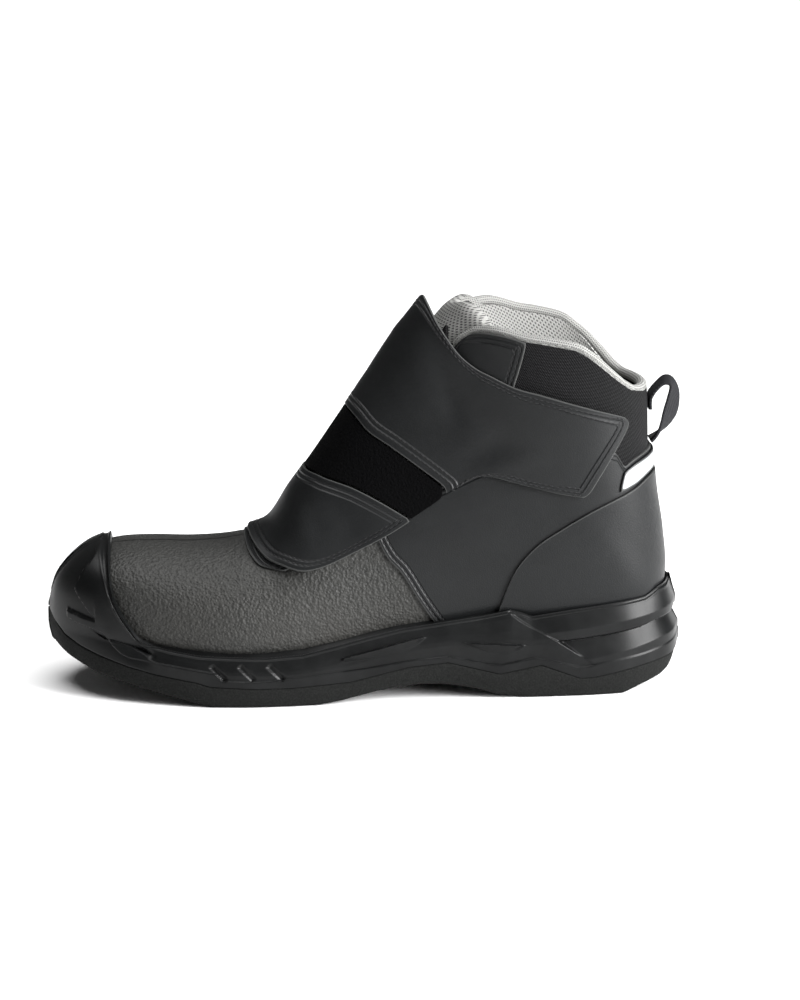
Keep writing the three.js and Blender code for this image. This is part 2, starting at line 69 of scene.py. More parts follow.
# Sections of the last from the toe, under the foot and up the heel, as shares of the sizes
lastColumns = ["backX", "backZ", "topX", "topZ", "left", "right", "wide", "low", "high"]
lastRows = np.array([
    [0.851, 0.190, 0.851, 0.222, -0.019, 0.093, 0.50, 2.0, 2.0],
    [0.844, 0.160, 0.841, 0.262, 0.074, 0.185, 0.48, 2.4, 2.4],
    [0.826, 0.148, 0.818, 0.302, 0.171, 0.269, 0.44, 2.8, 2.5],
    [0.795, 0.138, 0.789, 0.332, 0.259, 0.343, 0.42, 3.2, 2.5],
    [0.753, 0.125, 0.750, 0.347, 0.333, 0.403, 0.40, 3.5, 2.5],
    [0.698, 0.110, 0.698, 0.351, 0.389, 0.440, 0.38, 3.5, 2.4],
    [0.633, 0.098, 0.633, 0.351, 0.431, 0.454, 0.36, 3.5, 2.3],
    [0.568, 0.088, 0.568, 0.362, 0.449, 0.449, 0.34, 3.5, 2.2],
    [0.487, 0.090, 0.513, 0.391, 0.435, 0.412, 0.33, 3.4, 2.1],
    [0.406, 0.095, 0.474, 0.480, 0.403, 0.356, 0.33, 3.2, 2.0],
    [0.318, 0.110, 0.438, 0.558, 0.370, 0.324, 0.34, 3.0, 2.0],
    [0.227, 0.130, 0.406, 0.630, 0.356, 0.319, 0.36, 3.2, 2.0],
    [0.136, 0.147, 0.377, 0.695, 0.347, 0.324, 0.38, 3.3, 2.0],
    [0.045, 0.155, 0.349, 0.755, 0.347, 0.333, 0.40, 3.3, 2.0],
    [-0.039, 0.160, 0.323, 0.803, 0.343, 0.329, 0.42, 3.0, 2.0],
    [-0.092, 0.190, 0.299, 0.843, 0.338, 0.329, 0.44, 2.6, 2.0],
    [-0.104, 0.275, 0.278, 0.878, 0.343, 0.333, 0.45, 2.2, 2.0],
    [-0.099, 0.375, 0.260, 0.910, 0.347, 0.338, 0.46, 2.2, 2.0],
    [-0.089, 0.475, 0.244, 0.940, 0.352, 0.347, 0.46, 2.2, 2.0],
    [-0.083, 0.575, 0.231, 0.970, 0.361, 0.356, 0.47, 2.2, 2.1],
    [-0.081, 0.675, 0.218, 1.000, 0.370, 0.366, 0.48, 2.2, 2.1],
    [-0.078, 0.775, 0.205, 1.030, 0.384, 0.380, 0.49, 2.2, 2.1],
    [-0.078, 0.870, 0.195, 1.070, 0.389, 0.389, 0.50, 2.2, 2.1],
])
endRow = len(lastRows) - 1

# Plan outline of the sole: place along it and half widths to the outer and the inner side
solePlan = [
    [-0.136, 0.010, 0.010], [-0.123, 0.165, 0.155], [-0.097, 0.262, 0.250], [-0.049, 0.340, 0.328],
    [0.010, 0.375, 0.358], [0.075, 0.390, 0.360], [0.146, 0.398, 0.350], [0.227, 0.407, 0.333],
    [0.308, 0.426, 0.343], [0.390, 0.454, 0.389], [0.471, 0.486, 0.454], [0.536, 0.500, 0.491],
    [0.601, 0.491, 0.509], [0.666, 0.458, 0.500], [0.731, 0.398, 0.463], [0.779, 0.324, 0.407],
    [0.818, 0.225, 0.324], [0.846, 0.110, 0.215], [0.864, -0.045, 0.065],
]

# Side view lines of the sole, heel to toe
topEdge = [
    [-0.136, 0.255], [-0.107, 0.250], [-0.081, 0.232], [-0.026, 0.224], [0.045, 0.212], [0.108, 0.198],
    [0.123, 0.208], [0.140, 0.216], [0.188, 0.202], [0.256, 0.188], [0.312, 0.177], [0.364, 0.160],
    [0.419, 0.140], [0.464, 0.125], [0.523, 0.120], [0.630, 0.125], [0.675, 0.135], [0.734, 0.154],
    [0.760, 0.185], [0.790, 0.218], [0.830, 0.252], [0.864, 0.275],
]
soleBorder = [
    [-0.136, 0.093], [-0.122, 0.083], [-0.065, 0.070], [0.010, 0.049], [0.032, 0.048], [0.094, 0.084],
    [0.159, 0.064], [0.240, 0.096], [0.302, 0.088], [0.393, 0.058], [0.481, 0.050], [0.539, 0.050],
    [0.610, 0.055], [0.633, 0.065], [0.695, 0.080], [0.736, 0.093], [0.784, 0.113], [0.812, 0.126],
    [0.838, 0.143], [0.850, 0.161], [0.858, 0.177], [0.864, 0.186],
]
treadLine = [
    [-0.136, 0.065], [-0.117, 0.040], [-0.097, 0.028], [-0.065, 0.014], [-0.040, 0], [0.115, 0],
    [0.165, 0.010], [0.200, 0.026], [0.244, 0.038], [0.286, 0.040], [0.347, 0.028], [0.405, 0.008],
    [0.440, 0], [0.610, 0], [0.662, 0.018], [0.711, 0.036], [0.760, 0.053], [0.789, 0.063],
    [0.818, 0.078], [0.864, 0.100],
]

# Steps in of the midsole's side from the border (0) to its top edge (1), as shares of the rib depth
sideProfile = [
    [0.00, 0.00], [0.42, 0.00], [0.53, 0.07], [0.60, 0.15], [0.68, 0.25], [0.88, 0.57], [1.00, 0.90],
]
# The heel's lines in the side view: a low ridge, the groove between the ribs and the upper rib
lowRidge = [[-0.136, 0.138], [-0.101, 0.130], [-0.047, 0.112], [0.023, 0.091], [0.150, 0.080]]
heelGroove = [
    [-0.136, 0.182], [-0.098, 0.175], [-0.067, 0.163], [-0.003, 0.150], [0.066, 0.139], [0.150, 0.135],
]
heelRib = [
    [-0.136, 0.203], [-0.097, 0.194], [-0.027, 0.179], [0.024, 0.168], [0.087, 0.158], [0.150, 0.160],
]
# Steps in at the border, the ridge, just under the groove, the groove, the rib and the top edge
heelSteps = [0.00, 0.00, 0.98, 0.42, 0.36, 1.20]
# Where the flank's support panel ends against the heel's ribs, from low to high
supportEdge = np.array([
    [-0.010, 0.060], [0.023, 0.091], [0.065, 0.136], [0.089, 0.156], [0.109, 0.172], [0.125, 0.187],
    [0.138, 0.202], [0.150, 0.220],
])
# The raised band over the border ends at this line, where the flank steps in
stepLine = [
    [-0.136, 0.118], [-0.113, 0.109], [-0.068, 0.096], [-0.006, 0.084], [0.022, 0.075], [0.035, 0.075],
    [0.089, 0.097], [0.105, 0.101], [0.155, 0.085], [0.175, 0.088], [0.242, 0.109], [0.294, 0.104],
    [0.368, 0.088], [0.472, 0.073], [0.540, 0.066], [0.590, 0.069], [0.602, 0.087], [0.668, 0.102],
    [0.736, 0.114], [0.748, 0.122], [0.761, 0.139], [0.775, 0.169], [0.795, 0.177], [0.815, 0.184],
    [0.834, 0.194],
]
stepDepth = 0.9 * mm
facets = [
    {
        "depth": 2.6 * mm,
        "top": [[0.277, 0.156], [0.298, 0.151], [0.346, 0.133], [0.405, 0.113]],
        "low": [
            [0.277, 0.155], [0.288, 0.142], [0.307, 0.125], [0.317, 0.121], [0.347, 0.113], [0.405, 0.105],
        ],
    },
    {
        "depth": 2.0 * mm,
        "top": [[0.120, 0.131], [0.145, 0.134], [0.178, 0.136], [0.217, 0.141]],
        "low": [[0.120, 0.130], [0.144, 0.109], [0.175, 0.116], [0.217, 0.139]],
    },
]
slash = {"at": [0.509, 0.554, 0.598], "z": 0.087, "length": 9.2 * mm, "width": 2.4 * mm, "soft": 0.5 * mm}
# The toe guard's side, by height: the front of its facet, the front of its rim bead, and its depth
facetFront = np.array([
    [0.786, 0.195], [0.799, 0.221], [0.811, 0.248], [0.816, 0.262], [0.813, 0.276], [0.804, 0.304],
    [0.792, 0.327], [0.786, 0.341], [0.787, 0.360],
])
beadFront = np.array([
    [0.735, 0.164], [0.745, 0.187], [0.757, 0.220], [0.766, 0.254], [0.773, 0.287], [0.776, 0.321],
    [0.777, 0.348], [0.778, 0.370],
])
facetDeep = np.array([[0.190, 0.0], [0.215, 0.9], [0.262, 2.3], [0.304, 2.2], [0.335, 1.2], [0.365, 0.7]])
# The slot in the guard's side ends at this line. Its depth in mm grows towards the toe.
slotTop = [[0.787, 0.196], [0.815, 0.206], [0.828, 0.210], [0.840, 0.212]]
slotDepth = np.array([[0.70, 0], [0.74, 0.9], [0.785, 1.0], [0.805, 1.6], [0.829, 1.7], [0.833, 0]])
treadGrooves = {
    "forefoot": [0.430, 0.482, 0.534, 0.586, 0.638, 0.690, 0.742], "heel": [-0.075, -0.035, 0.040, 0.085],
    "middle": 0.42, "length": 0.62, "slant": 0.3, "width": 4 * mm, "depth": 3.6 * mm, "border": 6 * mm,
    "soft": 0.8 * mm,
}
# The outsole's sides: its edges' rounding, and how far and how high the wall draws in towards the tread
treadRound = 1.6 * mm
borderRound = 0.8 * mm
treadDraft = {"inset": 2.0 * mm, "height": 10 * mm}

# The top edge of the toe guard, from the side of the foot to the ridge of the toe
guardRim = [
    [0.690, 0.141], [0.710, 0.150], [0.724, 0.163], [0.736, 0.190], [0.748, 0.220], [0.757, 0.248],
    [0.763, 0.276], [0.766, 0.305], [0.768, 0.340], [0.768, 0.400],
]

# The collar's edge: the outer side lies a little lower at the front
outerTopline = [
    [0.222, 0.852], [0.201, 0.878], [0.166, 0.880], [0.120, 0.866], [0.088, 0.859], [0.045, 0.846],
    [0.023, 0.827], [0.003, 0.802], [-0.021, 0.769], [-0.045, 0.740], [-0.070, 0.727], [-0.150, 0.727],
]
innerTopline = [
    [0.224, 0.885], [0.201, 0.905], [0.166, 0.907], [0.120, 0.883], [0.088, 0.872], [0.045, 0.855],
    [0.023, 0.833], [0.003, 0.810], [-0.021, 0.775], [-0.045, 0.740], [-0.070, 0.727], [-0.150, 0.727],
]

# How far the flap lifts off the instep at the last's sections, as a share of its full lift
flapRise = [[8, 0.03], [9, 0.09], [12, 0.12], [13, 0.20], [14, 0.50], [15, 0.80], [17, 1], [22, 1]]
flapCrown = 0.62

# The pull loop's middle line: height, reach behind the heel and twist
loopLine = [
    [0.670, 0, 0], [0.700, 0.05, 0], [0.729, 0.45, 0], [0.737, 0.75, 0.02], [0.728, 0.96, 0.04],
    [0.700, 1, 0.08], [0.660, 0.86, 0.10], [0.628, 0.62, 0.07], [0.603, 0.28, 0.02], [0.590, 0, 0],
]
loopReach = 12 * mm
loopWidth = 14 * mm
loopThickness = 1.8 * mm
loopStep = 0.6 * mm


def smooth(low, high, value):
    share = np.clip((value - low) / (high - low), 0, 1)
    return share * share * (3 - 2 * share)


def mix(low, high, share):
    return low + (high - low) * share


def unit(vectors):
    return vectors / np.maximum(np.linalg.norm(vectors, axis=-1, keepdims=True), 1e-12)


def readLine(line, x):
    table = np.array(line, float)
    return np.interp(x, table[:, 0], table[:, 1])


# The height of a side view line, in metres
def lineHeight(line, x):
    return lastHeight * readLine(line, x)


# A smooth curve through a table's rows, read at row numbers with fractions
def spline(table, at):
    table = np.asarray(table, float)
    at = np.clip(at, 0, len(table) - 1)
    first = np.clip(np.floor(at).astype(int), 0, len(table) - 2)
    t = (at - first)[..., None]
    before = table[np.maximum(first - 1, 0)]
    start, stop = table[first], table[first + 1]
    after = table[np.minimum(first + 2, len(table) - 1)]
    straight = (stop - before) * t
    square = (2 * before - 5 * start + 4 * stop - after) * t ** 2
    cube = (3 * start - before - 3 * stop + after) * t ** 3
    return 0.5 * (2 * start + straight + square + cube)


def splinePoints(points, count):
    points = np.array(points, float)
    if len(points) == 2:
        return mix(points[0], points[1], np.linspace(0, 1, count)[:, None])
    fine = spline(points, np.linspace(0, len(points) - 1, 40 * len(points)))
    return evenly(fine, fine, count)


# Resamples rows of values at even steps of the path's length
def evenly(values, path, count):
    steps = np.linalg.norm(np.diff(path, axis=0), axis=1)
    lengths = np.concatenate([[0], np.cumsum(steps)])
    wanted = np.linspace(0, lengths[-1], count)
    return np.stack([np.interp(wanted, lengths, column) for column in values.T], -1)


def pathLength(path):
    return float(np.linalg.norm(np.diff(path, axis=0), axis=1).sum())


def section(row):
    return dict(zip(lastColumns, np.moveaxis(spline(lastRows, np.asarray(row, float)), -1, 0)))


# A point of a section's outline. The angle starts at the ridge and grows to the outer side, so
# the sole and heel are at half a turn.
def roundSection(part, angle):
    cosine, sine = np.cos(angle), np.sin(angle)
    power = np.where(cosine < 0, part["low"], part["high"])
    radius = (np.abs(cosine) ** power + np.abs(sine) ** power) ** (-1 / power)
    return cosine * radius, sine * radius


def lastPoint(row, angle):
    part = section(row)
    lift, side = roundSection(part, angle)
    share = part["wide"] + np.where(lift < 0, part["wide"], 1 - part["wide"]) * lift
    x = shoeLength * mix(part["backX"], part["topX"], share)
    half = (part["left"] + part["right"]) / 2
    y = soleWidth * ((part["left"] - part["right"]) / 2 + half * side)
    z = lastHeight * mix(part["backZ"], part["topZ"], share)
    return np.stack([x, y, z], -1)


def lastNormal(row, angle):
    step, turn = 0.05, 0.02
    low, high = np.clip(row - step, 0, endRow), np.clip(row + step, 0, endRow)
    lengthwise = lastPoint(high, angle) - lastPoint(low, angle)
    across = lastPoint(row, angle + turn) - lastPoint(row, angle - turn)
    return unit(np.cross(across, lengthwise))


def onLast(row, angle, height=0.0):
    row, angle = np.asarray(row, float), np.asarray(angle, float)
    height = np.broadcast_to(height, row.shape)
    return lastPoint(row, angle) + lastNormal(row, angle) * height[..., None]


rowSamples = np.linspace(0, endRow, 1401)
sampled = section(rowSamples)
sampleBack = np.stack([shoeLength * sampled["backX"], lastHeight * sampled["backZ"]], -1)
sampleTop = np.stack([shoeLength * sampled["topX"], lastHeight * sampled["topZ"]], -1)


# The section and the angle at a side view point, and how far it is to the ridge (1) or back (-1)
def sectionAt(points):
    reach = sampleTop - sampleBack
    away = points[:, None, :] - sampleBack[None]
    crossing = reach[None, :, 0] * away[:, :, 1] - reach[None, :, 1] * away[:, :, 0]
    ahead = np.argmax(crossing <= 0, axis=1)
    ahead = np.where((crossing <= 0).any(axis=1), ahead, len(rowSamples) - 1)
    ahead = np.maximum(ahead, 1)
    one = crossing[np.arange(len(points)), ahead - 1]
    two = crossing[np.arange(len(points)), ahead]
    share = np.clip(one / np.where(np.abs(one - two) < 1e-15, 1e-15, one - two), 0, 1)
    row = mix(rowSamples[ahead - 1], rowSamples[ahead], share)
    part = section(row)
    back = np.stack([shoeLength * part["backX"], lastHeight * part["backZ"]], -1)
    top = np.stack([shoeLength * part["topX"], lastHeight * part["topZ"]], -1)
    along = ((points - back) * (top - back)).sum(-1) / ((top - back) ** 2).sum(-1)
    lift = (along - part["wide"]) / np.where(along < part["wide"], part["wide"], 1 - part["wide"])
    held = np.clip(lift, -1, 1)
    power = np.where(held < 0, part["low"], part["high"])
    side = (1 - np.abs(held) ** power) ** (1 / power)
    return row, np.arctan2(side, held), lift


# Where a surface at a height over the last shows at side view points (shares)
def sideToLast(points, height):
    target = np.asarray(points, float) * [shoeLength, lastHeight]
    moved = target.copy()
    for attempt in range(6):
        row, angle, lift = sectionAt(moved)
        normal = lastNormal(row, angle)
        moved = target - normal[:, [0, 2]] * np.broadcast_to(height(row, angle), row.shape)[:, None]
    row, angle, lift = sectionAt(moved)
    return row, angle, lift


# A side view line laid on the last, as rows of section and angle. Each run is smooth and its
# points are shares. Over the ridge or the heel it stops at the middle.
def trace(runs, height, side, over, count):
    fine = np.concatenate([splinePoints(run, 160) for run in runs])
    row, angle, lift = sideToLast(fine, height)
    past = lift >= 1 if over == "ridge" else lift <= -1
    if over and past.any():
        stop = int(np.argmax(past)) + 1
        row, angle = row[:stop], angle[:stop]
        angle[-1] = 0 if over == "ridge" else math.pi
    if side == "inner":
        angle = around - angle if over == "heel" else -angle
    values = np.stack([row, angle], -1)
    return evenly(values, onLast(row, angle), count)


# The same line on both sides, joined over the ridge or the heel
def traceOver(outer, inner, height, over, count):
    half = count // 2 + 1
    there = trace(outer, height, "outer", over, half)
    back = trace(inner, height, "inner", over, half)[::-1]
    middle = (there[-1] + back[0]) / 2
    return np.concatenate([there[:-1], [middle], back[1:]])


# Fills the space between four edges with a grid of section and angle
def coons(low, high, start, end):
    u = np.linspace(0, 1, len(low))[:, None, None]
    v = np.linspace(0, 1, len(start))[None, :, None]
    ruled = mix(low[:, None], high[:, None], v)
    crossed = mix(start[None], end[None], u)
    corners = mix(mix(low[0], high[0], v), mix(low[-1], high[-1], v), u)
    return ruled + crossed - corners


# How a piece covers the last: a grid of section and angle with lengths along and across
class Patch:
    def __init__(self, low, high, height, over="ridge", outerEnd=None, innerEnd=None, inner=None, step=cell):
        self.height = height
        innerLow, innerHigh = inner or (low, high)
        draft = traceOver(low, innerLow, height, over, 240)
        columns = 2 * int(pathLength(onLast(*draft.T)) / step / 2)
        lower = traceOver(low, innerLow, height, over, columns)
        upper = traceOver(high, innerHigh, height, over, columns)
        middle = len(lower) // 2
        width = np.linalg.norm(onLast(*lower[middle]) - onLast(*upper[middle]))
        rows = max(int(width / step), 6)
        outerEnd = outerEnd or [[low[0][0], high[0][0]]]
        innerEnd = innerEnd or ([[innerLow[0][0], innerHigh[0][0]]] if inner else outerEnd)
        start = trace(outerEnd, height, "outer", None, rows)
        end = trace(innerEnd, height, "inner", None, rows)
        end[:, 1] = end[:, 1] + around if over == "heel" else end[:, 1]
        self.fill(lower, upper, start, end)

    def fill(self, lower, upper, start, end):
        start[0], start[-1], end[0], end[-1] = lower[0], upper[0], lower[-1], upper[-1]
        self.grid = coons(lower, upper, start, end)
        self.measure()

    def measure(self):
        row, angle = self.grid[..., 0], self.grid[..., 1]
        points = onLast(row, angle, self.height(row, angle))
        along = np.linalg.norm(np.diff(points, axis=0), axis=-1)
        across = np.linalg.norm(np.diff(points, axis=1), axis=-1)
        self.along = np.concatenate([np.zeros((1, points.shape[1])), np.cumsum(along, 0)])
        self.across = np.concatenate([np.zeros((points.shape[0], 1)), np.cumsum(across, 1)], 1)
        fromEnds = np.minimum(self.along, self.along[-1:] - self.along)
        fromSides = np.minimum(self.across, self.across[:, -1:] - self.across)
        self.edge = np.minimum(fromEnds, fromSides)

    # A line at an inset from an edge, as a finely stepped row of section and angle
    def inset(self, edge, distance, start=0.0, stop=1.0):
        grid, across, along = self.grid, self.across, self.along
        if edge == "high":
            grid, across = grid[:, ::-1], (across[:, -1:] - across)[:, ::-1]
        if edge == "outerEnd":
            grid, across = grid.swapaxes(0, 1), along.T
        if edge == "innerEnd":
            grid, across = grid[::-1].swapaxes(0, 1), (along[-1:] - along)[::-1].T
        line = np.stack([
            [np.interp(distance, across[i], grid[i, :, k]) for k in (0, 1)] for i in range(len(grid))
        ])
        first, last = int(start * (len(line) - 1)), int(stop * (len(line) - 1)) + 1
        return line[first:last]


# A patch on one side of the foot only
class SidePatch(Patch):
    def __init__(self, low, high, start, end, height, side, step=cell):
        self.height = height
        draft = trace(low, height, side, None, 200)
        columns = max(int(pathLength(onLast(*draft.T)) / step), 6)
        draft = trace(end, height, side, None, 200)
        rows = max(int(pathLength(onLast(*draft.T)) / step), 6)
        lower, upper = (trace(line, height, side, None, columns) for line in (low, high))
        first, last = (trace(line, height, side, None, rows) for line in (start, end))
        if side == "inner":
            lower, upper, first, last = lower[::-1], upper[::-1], last, first
        self.fill(lower, upper, first, last)


# A flat grid in a mesh being built, with each vertex's place in it
def gridMesh(columns, rows):
    mesh = bmesh.new()
    bmesh.ops.create_grid(mesh, x_segments=columns - 1, y_segments=rows - 1, size=0.5)
    places = np.array([vert.co[:2] for vert in mesh.verts])
    low, high = places.min(0), places.max(0)
    index = np.rint((places - low) / (high - low) * [columns - 1, rows - 1]).astype(int)
    return mesh, index


def setPlaces(mesh, places):
    for vert, place in zip(mesh.verts, places):
        vert.co = place


# Two flat grids joined at their borders, with each vertex's place and whether it is in the upper one
def doubleGrid(columns, rows):
    mesh, index = gridMesh(columns, rows)
    made = bmesh.ops.extrude_face_region(mesh, geom=mesh.faces[:], use_keep_orig=True)
    for vert in made["geom"]:
        if isinstance(vert, bmesh.types.BMVert):
            vert.co.z = 1
    mesh.verts.index_update()
    flat = np.array([vert.co for vert in mesh.verts])
    index = np.rint((flat[:, :2] + 0.5) * [columns - 1, rows - 1]).astype(int)
    return mesh, index, flat[:, 2] > 0.5


# A closed sheet on a patch, from its underside at base to its face at base plus thickness
def sheet(patch, base, thickness, soften=0.3 * mm, folds=None, pillow=None):
    mesh, index, isFace = doubleGrid(*patch.grid.shape[:2])
    row, angle = patch.grid[index[:, 0], index[:, 1]].T
    edge = patch.edge[index[:, 0], index[:, 1]]
    floor = np.broadcast_to(base(row, angle), row.shape)
    puff = thickness if pillow is None else thickness * pillow(edge)
    height = floor + np.where(isFace, puff, 0)
    normals = lastNormal(row, angle)
    places = lastPoint(row, angle) + normals * height[:, None]
    if folds:
        places = places + normals * folds(places)[:, None]
    setPlaces(mesh, places)
    facts = mesh.verts.layers.float_vector.new("flat")
    values = np.stack([
        patch.along[index[:, 0], index[:, 1]], patch.across[index[:, 0], index[:, 1]], edge,
    ], -1)
    for vert, value in zip(mesh.verts, values):
        vert[facts] = value
    bmesh.ops.recalc_face_normals(mesh, faces=mesh.faces[:])
    if soften:
        rim = [e for e in mesh.edges if len(e.link_faces) == 2 and e.calc_face_angle(0) > 1.0]
        bmesh.ops.bevel(mesh, geom=rim, offset=soften, segments=3, profile=0.5, affect="EDGES", material=-1)
    return mesh


def addPiece(name, mesh, materials, nodes, sharp=45):
    data = bpy.data.meshes.new(name)
    mesh.to_mesh(data)
    mesh.free()
    for material in materials:
        data.materials.append(material)
    data.shade_smooth()
    data.set_sharp_from_angle(angle=math.radians(sharp))
    piece = bpy.data.objects.new(name, data)
    bpy.context.scene.collection.objects.link(piece)
    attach(piece, "root")
    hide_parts(*nodes)
    print(name, len(data.polygons))
    return piece


# Shader values with the usual signs between them
class Value:
    def __init__(self, tree, socket):
        self.tree = tree
        self.socket = socket

    def math(self, operation, *others):
        node = self.tree.nodes.new("ShaderNodeMath")
        node.operation = operation
        for entry, value in zip(node.inputs, (self, *others)):
            connect(self.tree, entry, value)
        return Value(self.tree, node.outputs[0])

    def __add__(self, other):
        return self.math("ADD", other)

    __radd__ = __add__

    def __sub__(self, other):
        return self.math("SUBTRACT", other)

    def __rsub__(self, other):
        return (self * -1) + other

    def __mul__(self, other):
        return self.math("MULTIPLY", other)

    __rmul__ = __mul__

    def __truediv__(self, other):
        return self.math("DIVIDE", other)

    def within(self, low, high, start=0.0, stop=1.0):
        node = self.tree.nodes.new("ShaderNodeMapRange")
        node.interpolation_type = "SMOOTHSTEP"
        for name, value in (("From Min", low), ("From Max", high), ("To Min", start), ("To Max", stop)):
            connect(self.tree, node.inputs[name], value)
        connect(self.tree, node.inputs["Value"], self)
        return Value(self.tree, node.outputs[0])


def connect(tree, entry, value):
    if isinstance(value, Value):
        tree.links.new(value.socket, entry)
    elif isinstance(value, (tuple, list)) and entry.type == "RGBA":
        entry.default_value = (*value, 1)
    else:
        entry.default_value = value


# One material and the nodes that make it
class Finish:
    def __init__(self, name, **constants):
        self.material = bpy.data.materials.new(name)
        self.material.use_nodes = True
        self.tree = self.material.node_tree
        self.shader = self.tree.nodes["Principled BSDF"]
        for entry, value in constants.items():
            connect(self.tree, self.shader.inputs[entryName(entry)], value)

    # Any other node: its kind, its settings, then what goes into it, by the sockets' names
    def node(self, kind, settings, output=0, **entries):
        node = self.tree.nodes.new(kind)
        for setting, value in settings.items():
            setattr(node, setting, value)
        for entry, value in entries.items():
            name = entryName(entry)
            found = [e for e in node.inputs if e.name == name and e.enabled]
            connect(self.tree, found[0], value)
        return Value(self.tree, node.outputs[output])

    def place(self):
        return self.node("ShaderNodeTexCoord", {}, output="Object")

    def flat(self):
        return self.node("ShaderNodeAttribute", {"attribute_name": "flat"}, output="Vector")

    def axis(self, vector, name):
        return self.node("ShaderNodeSeparateXYZ", {}, output=name, vector=vector)

    def noise(self, vector, scale, detail=3.0, roughness=0.55):
        return self.node("ShaderNodeTexNoise", {}, vector=vector, scale=scale, detail=detail,
                         roughness=roughness)

    def cells(self, vector, scale, feature="F1", smoothness=None):
        extra = {} if smoothness is None else {"smoothness": smoothness}
        return self.node("ShaderNodeTexVoronoi", {"feature": feature}, output="Distance",
                         vector=vector, scale=scale, **extra)

    def blend(self, factor, one, two):
        node = self.tree.nodes.new("ShaderNodeMix")
        node.data_type = "RGBA"
        connect(self.tree, node.inputs[0], factor)
        connect(self.tree, node.inputs[6], one)
        connect(self.tree, node.inputs[7], two)
        return Value(self.tree, node.outputs[2])

    def bump(self, height, distance):
        return self.node("ShaderNodeBump", {}, height=height, distance=distance)

    def set(self, **entries):
        for entry, value in entries.items():
            connect(self.tree, self.shader.inputs[entryName(entry)], value)


# The socket's name for a word such as baseColor
def entryName(word):
    if word == "specular":
        return "Specular IOR Level"
    spaced = "".join(" " + letter if letter.isupper() else letter for letter in word)
    return " ".join(part.capitalize() for part in spaced.split())


def scaled(colour, factor):
    return tuple(factor * part for part in colour)


# What a user may change
leatherLook = {"colour": (0.0060, 0.0064, 0.0067), "edgeColour": (0.045, 0.046, 0.045), "roughness": 0.44}
vampLook = {"colour": (0.0160, 0.0160, 0.0150), "dust": (0.024, 0.023, 0.021), "roughness": 0.54}
foamLook = {"colour": (0.0028, 0.0030, 0.0031), "roughness": 0.40}
rubberLook = {"colour": (0.0052, 0.0054, 0.0052), "roughness": 0.80}
# The spacer mesh's hole colour is painted shade in its holes
meshLook = {"colour": (0.26, 0.26, 0.25), "holeShade": (0.040, 0.040, 0.040)}
textileLook = {"colour": (0.0018, 0.0018, 0.0019), "light": (0.0085, 0.0085, 0.0090)}
# The textile's light colour is a painted highlight on the weave's raised ribbons
bandLook = {"colour": (0.27, 0.285, 0.29)}
loopLook = {"colour": (0.008, 0.008, 0.009), "stripe": (0.22, 0.22, 0.22)}
threadLook = {"colour": (0.016, 0.016, 0.0165)}
pileLook = {"colour": (0.0007, 0.0007, 0.0008)}
feltLook = {"colour": (0.045, 0.046, 0.048)}

# Distances from a leather edge where the stitch rows press it down
stitchRows = {"strap": (3.4, 5.9), "seam": (2.0, 4.4), "base": (3.2, 5.6), "none": ()}


def leatherFinish(name, look, rows, grain):
    made = Finish(name, specular=0.16)
    place, flat = made.place(), made.flat()
    edge = made.axis(flat, "Z") * 1000
    cloud = made.noise(place, 38, 4)
    pores = made.cells(place, 1500 if grain < 1 else 820, "SMOOTH_F1", 0.35)
    fine = made.noise(place, 2600, 2)
    paint = made.blend(cloud.within(0.3, 0.75), look["colour"], scaled(look["colour"], 1.22))
    cut = edge.within(0.25, 0.75, 1, 0)
    made.set(baseColor=made.blend(cut * 0.8, paint, look["edgeColour"]))
    rough = look["roughness"] + (cloud - 0.5) * 0.16 + (fine - 0.5) * 0.10 + cut * 0.2
    made.set(roughness=rough)
    height = pores * (0.10 + 0.12 * grain) + fine * 0.05 + cloud * 0.5
    for inset in rows:
        away = (edge - inset).math("ABSOLUTE")
        height = height - away.within(0.0, 0.9, 1, 0) * 1.3
    made.set(normal=made.bump(height, 0.32 * mm))
    return made.material


def vampFinish():
    made = Finish("vampLeather", specular=0.24)
    place = made.place()
    up = made.axis(place, "Z")
    cloud = made.noise(place, 26, 5)
    pebble = made.cells(place, 760, "SMOOTH_F1", 0.5)
    creases = made.noise(place, 420, 4)
    fine = made.noise(place, 2400, 2)
    dusty = up.within(0.030, 0.066, 1, 0) * cloud.within(0.25, 0.7) * 0.75
    paint = made.blend(creases.within(0.35, 0.7), vampLook["colour"], scaled(vampLook["colour"], 1.5))
    made.set(baseColor=made.blend(dusty, paint, vampLook["dust"]))
    made.set(roughness=vampLook["roughness"] + (cloud - 0.5) * 0.14 + dusty * 0.12 + (fine - 0.5) * 0.12)
    made.set(normal=made.bump(pebble * 0.55 + creases * 0.80 + fine * 0.15, 0.75 * mm))
    return made.material


def foamFinish():
    made = Finish("soleFoam", specular=0.13, coatRoughness=0.30)
    place = made.place()
    cloud = made.noise(place, 55, 4)
    fine = made.noise(place, 1500, 3)
    paint = made.blend(cloud.within(0.35, 0.7), foamLook["colour"], scaled(foamLook["colour"], 1.4))
    made.set(baseColor=paint)
    made.set(roughness=foamLook["roughness"] + (cloud - 0.5) * 0.22 + (fine - 0.5) * 0.12)
    made.set(coatWeight=cloud.within(0.3, 0.7, 0.01, 0.06))
    made.set(normal=made.bump(fine * 0.16 + cloud * 0.3, 0.12 * mm))
    return made.material


def rubberFinish():
    made = Finish("outsoleRubber", specular=0.09)
    place = made.place()
    cloud = made.noise(place, 60, 4)
    fine = made.noise(place, 1300, 4)
    paint = made.blend(fine.within(0.35, 0.7), rubberLook["colour"], scaled(rubberLook["colour"], 1.9))
    made.set(baseColor=paint)
    made.set(roughness=rubberLook["roughness"] + (cloud - 0.5) * 0.2)
    made.set(normal=made.bump(fine, 0.30 * mm))
    return made.material


